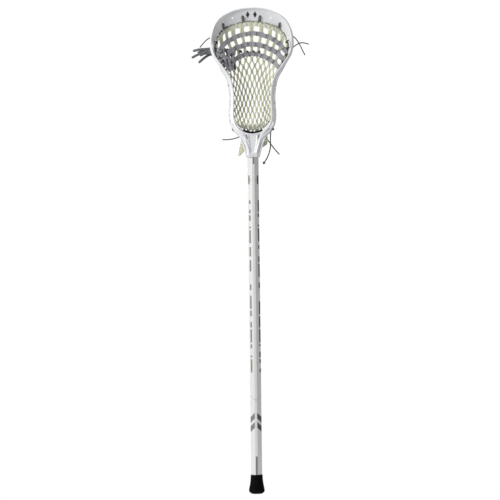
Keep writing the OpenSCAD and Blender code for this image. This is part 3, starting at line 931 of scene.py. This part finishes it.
def window(i):
    """Rounded triangle through both sidewalls. They alternate along the rails."""
    s, wide, tip, corner = WINDOWS[i], 0.44, 0.1, 1.6
    near, far = (0, 1) if i % 2 == 0 else (1, 0)

    def at(s, k):
        st = station(s)
        low, high = st[2] + FRONT_H + 4, st[3] - BACK_H - 4
        return vec(low + (high - low) * k, TOP - st[1])

    corners = [at(s - wide, near), at(s - tip, far), at(s + tip, far), at(s + wide, near)]
    if np.cross(corners[1] - corners[0], corners[2] - corners[1]) < 0:
        corners.reverse()
    outline = []
    for k, p in enumerate(corners):  # each corner becomes an arc outside it
        before, after = p - corners[k - 1], corners[(k + 1) % 4] - p
        a, b = math.atan2(-before[0], before[1]), math.atan2(-after[0], after[1])
        while b < a:
            b += 2 * math.pi
        outline += [p + corner * vec(math.cos(w), math.sin(w)) for w in np.linspace(a, b, 7)]
    return solid("window", [[vec(x, y, z) for y, z in outline] for x in (-95.0, 95.0)])


def head_slab(z, half, y0, y1, corner):
    return at_height(round_box(-half, half, y0, y1, corner, 7), z)


# Height, half width, front, back and corner radius, from the throat down to the neck
THROAT = [
    (776, 46, -6.2, 20, 2),
    (771, 45.6, -8, 36.5, 2.5),
    (757, 38, -12.5, 33, 3.5),
    (745, 25.5, -16.5, 28, 6),
    (727, 16.6, -17.2, 20, 7.5),
    (716, 14.9, -17, 19.5, 8),
    (708, 15.4, -17.4, 19.2, 8),
    (703, 13.9, -15.9, 16, 7.5),
]


def throat():
    rows = np.array(THROAT, float)[::-1]
    heights = np.linspace(rows[-1, 0], rows[0, 0], 60)
    spread = np.array([[np.interp(z, rows[:, 0], rows[:, k]) for k in range(1, 5)] for z in heights])
    for _ in range(3):  # eases the kinks between the rows
        spread[1:-1] = (spread[:-2] + 2 * spread[1:-1] + spread[2:]) / 4
    return solid("throat", [head_slab(z, *row) for z, row in zip(heights, spread)])


def rib(path, radius):
    made = Builder()
    made.tube(path, radius, 12, stitch=1.0)
    return made.mesh("rib", plastic())


# Ribs on each side: half width, depth and height of the upper end and of the lower end, and radius
RIBS = [((19.5, -13.6, 752), (7.6, -17.0, 712), 1.7), ((31, -10.6, 760), (13.2, -13.6, 706), 1.9)]


def throat_ribs():
    """Raised ribs on the front: two pairs down to the neck, and a lip round the ball stop."""
    out = []
    for (x0, y0, z0), (x1, y1, z1), radius in RIBS:
        for side in (-1, 1):
            path = smooth_path([
                [side * x0, y0, z0],
                [side * (x0 * 0.62 + x1 * 0.38), y0 * 0.5 + y1 * 0.5 - 0.9, z0 * 0.65 + z1 * 0.35],
                [side * (x0 * 0.22 + x1 * 0.78), y1, z0 * 0.28 + z1 * 0.72],
                [side * x1, y1, z1],
            ])
            out.append(rib(path, radius))
    turns = np.radians(np.arange(-44, 45, 4))
    lip = [round_throat(44.6, w, -11.6 - 2.2 * math.cos(1.6 * w)) for w in turns]
    return [*out, rib(lip, 2.1)]


def throat_cuts():
    out = [pin("opening", -100, 100, THROAT_Z, THROAT_R, 160)]
    reach = math.asin(0.5)
    seat = [
        [
            round_throat(radius, w, y)
            for radius, turn in ((THROAT_R + FOAM_T + 0.15, reach), (THROAT_R - 2, -reach))
            for w in turn * np.linspace(-1, 1, 33)
        ]
        for y in (-100.0, 100.0)
    ]
    out.append(solid("seat", seat))
    hollow = solid("hollow", [head_slab(775, 42, -3, 60, 2), head_slab(751, 27, -9, 60, 2)])
    out.append(cut(hollow, [pin("stay", -150, 150, THROAT_Z, THROAT_R + FOAM_T + 3, 128)]))
    recess = (
        [(11.2, -21, 749.5), (16.4, -21, 750.2), (16.4, -8.5, 750.2), (11.2, -8.5, 749.5)],
        [(9.4, -21, 738.8), (10.2, -21, 738.8), (10.2, -13.2, 738.8), (9.4, -13.2, 738.8)],
    )
    for side in (-1, 1):
        out.append(solid("recess", [[vec(side * x, y, z) for x, y, z in ring] for ring in recess]))
    panel = [
        [vec(-x, -24, z), vec(x, -24, z), vec(x, y, z), vec(-x, y, z)]
        for x, y, z in ((9.2, -13.9, 750.0), (8.2, -15.2, 741.0), (6.4, -15.6, 727.0), (4.0, -15.7, 713.0))
    ]
    out.append(solid("panel", panel))
    out.append(solid("socket", [at_height(octagon(0.15), z) for z in (TOP - 318, SHAFT_TOP + 1)]))
    out.append(pin("screw_seat", SCREW_FACE, SCREW_FACE + 20, SCREW_Z, 4.5, 48))
    out.append(pin("screw_hole", SCREW_FACE + 1, SCREW_FACE - 14, SCREW_Z, 2.5, 32))
    return out


HEAD_FACES = 185000  # triangles left in the head


def make_head():
    steps = 150
    wall = solid("wall", [wall_ring(WALL_END * i / steps) for i in range(-steps, steps + 1)])
    cut(wall, [window(i) for i in range(len(WINDOWS))])
    head = cut(wall, [throat(), *throat_ribs()], "UNION")
    cut(head, [pin("boss", SCREW_FACE - 5, SCREW_FACE + 2.4, SCREW_Z, 7, 48)], "UNION")
    cut(head, throat_cuts())
    holes = []
    for s in SIDE_HOLES:
        st = station(s)
        y, z = string_hole_y(st), TOP - st[1]
        holes.append(rod("hole", (-95, y, z), (95, y, z), HOLE_R, 20))
    for s in SCOOP_LOOPS + SCOOP_PLAIN:
        p = wall_face(s, LOOP_K if s in SCOOP_LOOPS else 0.5, 0)
        holes.append(rod("hole", p + vec(0, -12, 0), p + vec(0, 12, 0), HOLE_R, 20))
    cut(head, holes)
    head.name = head.data.name = "head"
    remesh = head.modifiers.new("remesh", "REMESH")
    remesh.mode, remesh.voxel_size, remesh.use_smooth_shade = "VOXEL", 0.62 * MM, True
    ease = head.modifiers.new("ease", "SMOOTH")
    ease.factor, ease.iterations = 0.5, 5
    apply_modifiers(head)
    fewer = head.modifiers.new("fewer", "DECIMATE")
    fewer.ratio = min(1.0, HEAD_FACES / (2 * len(head.data.polygons)))
    apply_modifiers(head)
    coat(head, plastic())
    keep(head, "stick", "head_frame", slot="head_plastic")


make_head()

# ---------------------------------------------------------------- strung mesh

ROWS = 19  # rows of webs down the mesh
STRANDS, STRAND_FLAT = 20, 0.62
LACE_DROOP = 0.108
TOP_ROWS = [0, 0.055, 0.103, 0.155, 0.205, 0.253, 0.3]  # odd rows show between the laces


def droop(v):
    """How far the rows sag at the sides: with the laces between 0.09 and 0.32, not at the mesh's ends."""
    return LACE_DROOP * eased(v, 0, 0.09) * (1 - eased(v, 0.32, 1))


def row_heights():
    """Values of v: the rows below the laces are evenly spaced along the middle of the mesh."""
    steps = np.linspace(TOP_ROWS[-1], 1, 401)
    line = np.array([mesh_point(0, v) for v in steps])
    along = np.concatenate([[0], np.cumsum(np.linalg.norm(np.diff(line, axis=0), axis=1))])
    even = np.interp(np.linspace(0, along[-1], ROWS - len(TOP_ROWS) + 2), along, steps)
    return [*TOP_ROWS[:-1], *even]


HEIGHTS = row_heights()


def v_at(row):
    return float(np.interp(row, range(ROWS + 1), HEIGHTS))


def web_u(strand, row):
    """Where a strand meets its neighbour: the webs of odd rows stand between those of even rows."""
    if row % 2 or row == 0:
        return -1 + 0.2 * math.ceil(strand / 2)
    return -0.9 + 0.2 * (strand // 2)


def web_side(strand, row):
    """-1 if the strand is the left one of its web, 1 if it is the right one."""
    left = strand % 2 == (1 if row % 2 or row == 0 else 0)
    return -1 if left else 1


def strand_width(scale, v):
    """Half the width of a strand: as knitted, but bunched along the scoop and where the rows are narrow."""
    return min(0.028 * scale, 1.47 + 0.9 * math.exp(-((v / 0.12) ** 2)))


def crossing(row, t):
    """How far a strand has moved from its web in one row to its web in the next."""
    if row >= len(TOP_ROWS) - 1:
        return eased(t, 0.24, 0.76)
    return eased(t, 0.5, 0.94) if row % 2 else eased(t, 0.06, 0.5)  # the webs of the odd rows are longer


def net_spot(u, v):
    """Place on the mesh of an evenly spaced net: it droops along the laces and is tighter at the sides."""
    spread = min(max((v - 0.3) / 0.2, 0), 1)
    u = min(max(u + 0.036 * spread * math.sin(math.pi * u), -0.985), 0.985)
    return u, v + droop(v) * u * u


def strand_line(strand, per=12):
    """Middle line of a strand, its directions to the front, and its half widths."""
    path, fronts, widths = [], [], []
    for step in range(ROWS * per + 1):
        row, t = divmod(step, per)
        t /= per
        after = min(row + 1, ROWS)
        move = crossing(row, t)
        lean = (1 - move) * web_side(strand, row) + move * web_side(strand, after)
        u, v = net_spot((1 - move) * web_u(strand, row) + move * web_u(strand, after), v_at(row + t))
        scale = mesh_frame(u, v)[2]
        half = strand_width(scale, v_at(row + t))
        wave = 0.35 * math.sin(1.7 * strand + 0.9 * row + 2.0 * t)
        p, front, _ = mesh_frame(u + (lean * half * 0.92 + 0.4 * wave) / scale, v)
        path.append(p + front * 0.25 * wave)
        fronts.append(front)
        widths.append(half)
    return path, fronts, widths


def thread_round(made, centre, wide, tall, sides):
    """Thin thread in a ring. wide and tall lead from the centre to its farthest places."""
    ring = [centre + wide * math.cos(a) + tall * math.sin(a) for a in angles(sides)]
    made.tube(ring, 0.42, 6, closed=True, stitch=0.8)


def make_net():
    """Knitted mesh: each strand zigzags between its two neighbours and is bound to them in turn."""
    net, binding = Builder(), Builder()
    section = [(math.cos(a), STRAND_FLAT * math.sin(a)) for a in angles(10)]
    for strand in range(STRANDS):
        path, fronts, widths = strand_line(strand)
        net.sweep(path, section, fronts=fronts, grow=widths)
    for row in range(1, ROWS + 1):
        places = (-0.32, -0.11, 0.11, 0.32) if row % 2 and row < len(TOP_ROWS) else (-0.17, 0.0, 0.17)
        first, webs = (-1, 11) if row % 2 else (-0.9, 10)
        for k in range(webs):
            for place in places:
                if row + place > ROWS:
                    continue
                u, v = net_spot(first + 0.2 * k, v_at(row + place))
                p, front, scale = mesh_frame(u, v)
                half = strand_width(scale, v_at(row + place))
                across = unit(mesh_point(u + 0.01, v) - mesh_point(u - 0.01, v))
                wide = across * 1.95 * half + np.cross(across, front) * 0.9
                thread_round(binding, p, wide, front * (STRAND_FLAT * half + 0.25), 14)
    mesh = braid("knitted_mesh")
    return net.mesh("pocket_net", mesh), binding.mesh("pocket_bindings", mesh)


def give(obj, *nodes, slot):
    """Fixes the piece's placement into its points and hides the CAD nodes that it stands for."""
    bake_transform(obj)
    if nodes:
        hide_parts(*nodes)


def on_mesh(u, v, lift):
    p, front, _ = mesh_frame(u, v)
    return p + front * lift, front


# ---------------------------------------------------------------- laces

# Place down the mesh, left end, width and number of dark hitches of each; the hitches paint the shade where
# the lace dips through the mesh
LACES = {"upper": (0.103, -0.93, 10.2, 8), "middle": (0.205, -0.74, 11.4, 7), "lower": (0.3, -0.64, 10.2, 7)}


def lace_path(v, start, end=0.985, steps=130):
    path, fronts = [], []
    for u in np.linspace(start, end, steps):
        roll = 0.55 * math.cos(10 * math.pi * (u + 0.1)) + 0.2 * math.sin(23 * u + 40 * v)
        p, front = on_mesh(u, v + LACE_DROOP * u * u + 0.0016 * math.sin(17 * u + 31 * v), 2.5 + roll)
        path.append(p)
        fronts.append(front)
    return path, fronts


def make_laces():
    for name, (v, start, width, _) in LACES.items():
        made = Builder()
        path, fronts = lace_path(v, start)
        s = CORNER_TOP + (CORNER_LOW - CORNER_TOP) * (v + LACE_DROOP)
        path.append(rail_edge(s, 1.2, 4.6))
        fronts.append(fronts[-1])
        narrow = np.ones(len(path))
        narrow[-5:] = [0.94, 0.86, 0.76, 0.66, 0.55]
        made.sweep(path, ribbon_section(width), fronts=fronts, grow=narrow)
        give(made.mesh("lace_" + name, lace()), "shooting_lace_" + name, slot="lace_cotton")


def ribbon_on_mesh(made, spots, width):
    """Ribbon laid on the mesh through spots (u, v, lift)."""
    pairs = [on_mesh(*spot) for spot in smooth_path(spots, 8)]
    made.sweep([p for p, _ in pairs], ribbon_section(width), fronts=[front for _, front in pairs])


def knots_on_mesh(made, knots, lift, radius):
    """Knots on the mesh: place across and down, size and turn of each."""
    for u, v, size, turn in knots:
        p, front = on_mesh(u, v, lift)
        knot(made, p, size, radius, turn, front)


def shade_ring_lace(made, v, u, width):
    """Dark thread round a lace, where it is woven through a web of the mesh: painted shade where the lace
    dips into the holes.
    """
    path, fronts = lace_path(v, u, u + 0.02, 3)
    down = unit(np.cross(path[2] - path[0], fronts[1]))
    thread_round(made, path[1], down * (width / 2 + 0.3), fronts[1] * 1.15, 16)


# Runs of lace over the left sidewall: the width of each, and its places across, down and off the mesh
LACE_RUNS = [
    (8.4, [
        (-0.88, 0.19, 3.4), (-0.96, 0.2, 4.4), (-0.97, 0.26, 4.6), (-0.95, 0.33, 4.0), (-0.9, 0.4, 3.2),
        (-0.9, 0.45, 2.6),
    ]),
    (5.6, [
        (-0.62, 0.235, 3.4), (-0.68, 0.27, 5.4), (-0.76, 0.33, 6.0), (-0.79, 0.385, 5.2),
        (-0.78, 0.44, 3.0),
    ]),
    (5.4, [
        (-0.48, 0.23, 3.0), (-0.56, 0.285, 5.2), (-0.63, 0.335, 5.6), (-0.69, 0.385, 4.6),
        (-0.76, 0.425, 3.0),
    ]),
    (5.0, [(-0.8, 0.2, 3.2), (-0.84, 0.25, 6.0), (-0.86, 0.3, 6.4), (-0.9, 0.35, 5.2)]),
    (5.6, [
        (-0.62, 0.34, 3.0), (-0.7, 0.325, 6.6), (-0.8, 0.3, 7.4), (-0.92, 0.265, 6.6),
        (-0.98, 0.24, 4.6),
    ]),
]
# Knots: place across and down the mesh, size and turn. The last ones stand along the lowest lace.
LACE_KNOTS = [(-0.93, 0.19, 9, 0.3), (-0.81, 0.42, 8, 2.0), (-0.56, 0.255, 8, 1.1)]
STRING_KNOTS = [
    (-0.8, 0.3, 8, 1.9), (-0.7, 0.35, 8, 0.5), (-0.8, 0.41, 7, 1.4), (-0.97, 0.27, 7, 0.2),
    (-0.95, 0.325, 7, 1.0), (-0.55, 0.275, 6, 0.4), (-0.34, 0.265, 6, 0.9),
]
SMALL_KNOTS = [(u, 0.278, 4.4, 9 * u) for u in (-0.13, 0.05, 0.23)]


def make_lace_ends():
    """Left ends of the laces: runs down the sidewall over a tangle of string, with knots between them."""
    bands, cords = Builder(), Builder()
    for width, spots in LACE_RUNS:
        ribbon_on_mesh(bands, spots, width)
    knots_on_mesh(bands, LACE_KNOTS, 6.4, 1.6)
    for k in range(6):  # tangled string behind the runs
        spots = []
        for j in range(5):
            u, v = -0.97 + 0.065 * k + 0.03 * math.sin(2.3 * k + j), 0.19 + 0.05 * j + 0.008 * k
            spots.append((u, v, 1.9 + 0.9 * math.cos(1.9 * k + 2 * j)))
        cords.tube([on_mesh(*spot)[0] for spot in smooth_path(spots, 7)], 1.75)
    knots_on_mesh(cords, STRING_KNOTS, 4.4, 1.25)
    knots_on_mesh(cords, SMALL_KNOTS, 3.0, 0.9)
    # each lace gets rings of dark string across it: painted shade where it dips through the mesh
    for v, _, width, shade_rings in LACES.values():
        for k in range(shade_rings):
            shade_ring_lace(cords, v, -0.5 + 0.2 * k + 0.02 * math.sin(5 * k + 9 * v), width)
    give(bands.mesh("lace_runs", lace()), slot="lace_cotton")
    give(cords.mesh("lace_knots", braid("dark_string")), slot="lace_cotton")


# ---------------------------------------------------------------- strings that hold the mesh


def ring_loop(made, points, radius, per=5):
    """Closed smooth loop through points."""
    line = []
    for i in range(len(points)):
        four = [points[(i + k) % len(points)] for k in (-1, 0, 1, 2)]
        line += [between(*four, t) for t in np.arange(per) / per]
    made.tube(line, radius, 8, closed=True)


def wavy_string(s0, s1, gap, lift, steps, wave=0.5, beat=9.0):
    return [
        rail_edge(s, gap + wave * math.sin(beat * s), lift + wave * math.cos(beat * s * 0.8))
        for s in np.linspace(s0, s1, steps)
    ]


def scoop_loop(s, turn):
    """One of three turns side by side, from the hole down to the mesh."""
    outer = abs(s) > 1
    drop = math.copysign(0.3, s) if outer else 0.0  # the outer loops run down, not square to the lip
    shift = (0.1 if outer else 0.075) * turn
    at = s + shift
    hole = wall_face(s + 0.4 * shift, LOOP_K, -1.5)
    return smooth_path([
        hole + vec(0, 3, 0),
        hole,
        wall_face(s + 0.8 * shift, LOOP_K + 0.03, 1.3),
        wall_face(at + 0.4 * drop, 0.76, 1.4),
        wall_face(at + 0.8 * drop, 0.93, 1.5),
        rail_edge(at + drop, 0.9, 3.4),
        rail_edge(at + drop, 1.6, 1.4),
        rail_edge(at + drop, 0.8, -0.6),
    ], 5)


def make_top_string():
    made, dark = Builder(), Builder()
    reach = CORNER_TOP + 0.1
    made.tube(wavy_string(-reach, reach, STRING_D / 2 + 0.3, 3, 170), STRING_D / 2)
    for s in SCOOP_LOOPS:
        for turn in (-1, 0, 1):
            dark.tube(scoop_loop(s, turn), 0.85)
    for s in np.linspace(-3.45, 3.45, 24):  # small hitches that tie the mesh's edge to the string
        knot(dark if s < -1.8 else made, rail_edge(s, 2.4, 4.2), 4.2, 0.8, 2.1 * s)
    keep(made.mesh("top_cord", braid("edge_string")), "stick", "top_string", slot="string_nylon")
    keep(dark.mesh("scoop_loops", braid("scoop_string")), slot="string_nylon")


# Rolled rows of mesh: place down the mesh, lift, radius and shift of the waves
TOP_ROLLS = [(0.002, 0.3, 1.8, 0), (0.013, 1.0, 1.7, 1.3), (0.024, 0.4, 1.6, 2.4), (0.033, 1.0, 1.4, 0)]
LOW_ROLLS = [(0.976, 0.4, 1.2, 0.5), (0.96, 0.9, 1.0, 1.9), (0.943, 0.5, 0.9, 2.7), (0.925, 0.9, 0.8, 4.1)]


def make_mesh_edge():
    """Rolled rows of mesh along the scoop and the ball stop, in the lighter copy of the mesh colour: painted
    light that lifts their shade.
    """
    made = Builder()
    for v, lift, wide, turn in TOP_ROLLS:
        path = []
        for u in np.linspace(-0.985, 0.985, 260):  # the lower rolls sag at the webs and lift over the holes
            wave = math.cos(10 * math.pi * u) if v > 0.02 else math.sin(62 * u + turn)
            place = v + droop(v) * u * u + 0.006 * wave
            path.append(on_mesh(u, place, lift + 0.8 * math.cos(62 * u + turn))[0])
        made.tube(path, wide, stitch=1.0)
    for v, lift, wide, turn in LOW_ROLLS:
        path = []
        for u in np.linspace(-0.62, 0.62, 150):
            wave = math.sin(47 * u + turn) + 0.5 * math.sin(29 * u + 2 * turn)
            path.append(on_mesh(u, v + 0.007 * wave, lift + 0.6 * math.cos(55 * u + turn))[0])
        made.tube(path, wide, stitch=1.0)
    give(made.mesh("mesh_edge_rolls", braid("knitted_mesh_folds")), slot="mesh_nylon")


def make_sidewall_string(side, word):
    made = Builder()
    path = wavy_string(CORNER_TOP + 0.25, 11.2, STRING_D / 2 + 0.35, 3, 200, 0.35, 7.0)
    made.tube([vec(side, 1, 1) * p for p in path], STRING_D / 2)
    for s in SIDE_HOLES[:-1:2]:  # flush runs outside, from one hole to the next
        run = []
        for k in np.linspace(0, 1, 14):
            st = station(s + 0.6 * k)
            sink = 1.65 + 1.4 * abs(2 * k - 1) ** 6
            run.append(rim(side * (s + 0.6 * k), st[5] + sink, string_hole_y(st)))
        made.tube(run, 1.0, 8)
    for s in SIDE_HOLES:
        st = station(s)
        leg = [
            rim(side * s, st[5] + BACK_W + 1.4, st[3] - 3.6),
            rim(side * s, st[5] + WALL + 3.0, string_hole_y(st)),
            rim(side * s, st[5] + 2.2, string_hole_y(st)),
        ]
        made.tube(smooth_path(leg, 5), 1.1, 8)
        knot(made, rim(side * (s + 0.1), st[5] + BACK_W + 3.0, st[3] - 4.2), 5.2, 0.95, 3.0 * s)
    cord = made.mesh("sidewall_cord_" + word, braid("braided_string"))
    keep(cord, "stick", "sidewall_string_" + word, slot="string_nylon")


def make_bottom_string():
    made = Builder()
    reach = THROAT_R + 1.5
    turns = np.radians(np.arange(-42, 43, 2))
    made.tube([round_throat(reach, w, 38) for w in turns], STRING_D / 2)
    for w in np.radians(np.arange(-38, 39, 9.5)):
        middle, outward = round_throat(reach - 2, w, 34.5), vec(math.sin(w), 0, -math.cos(w))
        ring = [middle + outward * 2.6 * math.cos(t) + vec(0, 4.8 * math.sin(t), 0) for t in angles(6)]
        ring_loop(made, ring, 0.9)
    for low, high in ((-57, -42), (50, 63)):  # runs on the inside of the lower sidewalls
        turns = np.radians(np.linspace(low, high, 9))
        made.tube([round_throat(38.2, w, 22 + 3 * math.cos(4 * w)) for w in turns], 1.25)
    for side in (-1, 1):  # hitches on the lower sidewalls, and stubs outside the throat
        stub = [(37, 31, 757), (40, 30, 759), (42.3, 27.5, 762), (42.8, 24, 764)]
        made.tube(smooth_path([vec(side * x, y, z) for x, y, z in stub], 5), 0.9)
        if side > 0:
            knot(made, vec(42.6, 23, 762.5), 4.6, 0.9, 1.0)
        for s in (10.85, 11.1):
            st = station(s)
            knot(made, rim(side * s, st[5] + BACK_W + 2.5, st[3] - 4), 6, 1.1, 2.3 * s)
    keep(made.mesh("bottom_cord", braid("dark_string")), "stick", "bottom_string", slot="string_nylon")


# Spare mesh behind the throat, as in part.scad: distance from the middle, depth, drop, width
FLAPS = {
    "left": [
        [12, 36, 260, 12], [14, 34.5, 266, 13], [17, 32, 275, 13], [20, 30.5, 285, 12], [24, 28, 299, 9],
        [29, 26, 309, 3],
    ],
    "right": [[20, 36, 258, 12], [23, 35, 267, 13], [25, 33, 276, 13], [24, 31, 284, 11], [20, 29.5, 291, 4]],
}


def flap_layer(line, side, layer):
    """Strands down the flap and rows across it, in front of its middle or behind."""
    made = Builder()
    for strand in range(7):
        path = []
        for i, (x, y, drop, width) in enumerate(line):
            beat = math.sin(i * 0.72 + (math.pi if strand % 2 else 0))
            t = (strand - 3) / 3.2 + 0.11 * beat
            depth = y + layer * 1.1 + 0.75 * math.cos(2.6 * t + 0.05 * i)
            path.append(vec(side * x + t * width / 2, depth, TOP - drop + 0.8 * math.sin(3 * t)))
        made.tube(path[: len(line) - 3 * (strand % 3) - 1], 0.95, 8, 0.8, stitch=1.0)
    for i in range(3, len(line) - 6, 5):
        x, y, drop, width = line[i]
        row = []
        for t in np.linspace(-0.96, 0.96, 22):
            depth = y + layer * 1.4 + 0.4 * math.cos(7 * t)
            row.append(vec(side * x + t * width / 2, depth, TOP - drop + 1.2 * math.sin(5 * t + i)))
        made.tube(row, 0.6, 7, stitch=0.8)
    return made


def make_flap(side, word):
    line = smooth_path(FLAPS[word], 9)
    made = flap_layer(line, side, -1).mesh("mesh_flap_" + word, braid("knitted_mesh"))
    keep(made, "stick", "mesh_tail_" + word, slot="mesh_nylon")
    # the back layer takes the lighter copy of the mesh colour: painted light against its shade
    shade = flap_layer(line, side, 1).mesh("mesh_flap_fold_" + word, braid("knitted_mesh_folds"))
    keep(shade, slot="mesh_nylon")


net, bindings = make_net()
give(net, "pocket_mesh", slot="mesh_nylon")
give(bindings, slot="mesh_nylon")
make_laces()
make_lace_ends()
make_top_string()
make_mesh_edge()
for word, side in SIDES.items():
    make_sidewall_string(side, word)
make_bottom_string()
for word, side in SIDES.items():
    make_flap(side, word)

# ---------------------------------------------------------------- shaft, end cap and ball stop


def make_shaft():
    heights = [SHAFT_Z, *np.linspace(SHAFT_Z + 0.4, SHAFT_TOP - 0.4, 60), SHAFT_TOP]
    rings = [at_height(octagon(-0.3 if z in (SHAFT_Z, SHAFT_TOP) else 0), z) for z in heights]
    shaft = solid("tube", rings)
    bore = solid("bore", [at_height(octagon(-SHAFT_WALL, 0.8), z) for z in (SHAFT_Z - 5, SHAFT_TOP + 5)])
    cut(shaft, [bore, pin("hole", 5, 20, SCREW_Z, 2.5, 32)])
    coat(shaft, shaft_paint(), 32)
    keep(shaft, "stick", "shaft", slot="shaft_metal")


# Height and width of the end cap, from its flat bottom up
CAP_ROWS = [
    (0, 20), (0.6, 22), (1.5, 25.2), (3, 29), (4.8, 32), (6.8, 33), (9, 32.8), (12, 31.6), (15, 30.4),
    (20, 28.4), (26, 26.6), (32, 25.6), (38.6, 25), (39.6, 24.8), (40, 24.4),
]


def make_cap():
    rows = np.array(CAP_ROWS, float)
    rings = []
    for z in [*np.linspace(0, 1.4, 6), *np.linspace(2, 38, 46), *np.linspace(38.5, CAP_H, 6)]:
        w = np.interp(z, rows[:, 0], rows[:, 1])
        if 13 < z < 35:  # shallow grip rings
            w += 0.35 * math.sin(z * 2 * math.pi / 3.2)
        rings.append(at_height(eight_sided(w / 2, w / 2 + 2, w * 0.2, w * 0.23, 3.2, 6), z))
    cap = solid("end_cap", rings)
    cut(cap, [solid("socket", [at_height(octagon(0.3), z) for z in (SHAFT_Z, CAP_H + 5)])])
    coat(cap, rubber(), 40)
    keep(cap, "cap", "butt_cap", slot="cap_rubber")


def make_stop():
    """Curved foam pad in the seat at the bottom of the opening."""
    inner, outer = THROAT_R - 0.7, THROAT_R + FOAM_T
    reach = math.asin(19.2 / 40.6)
    rings = []
    for w in np.linspace(-reach, reach, 49):
        ease = min(1.0, (reach - abs(w)) / 0.05)
        squeeze = math.sqrt(max(0.0, 1 - (1 - ease) ** 2)) * 0.75 + 0.25
        middle, half = (inner + outer) / 2, (outer - inner) / 2 * squeeze
        outline = round_box(middle - half, middle + half, -13, 32, min(1.3, half), 6)
        rings.append([round_throat(r, w, y) for r, y in outline])
    stop = solid("stop_pad", rings)
    coat(stop, foam(), 50)
    keep(stop, "stick", "ball_stop", slot="stop_foam")


make_shaft()
make_cap()
make_stop()
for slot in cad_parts["head_screw"].material_slots:
    slot.material = steel()
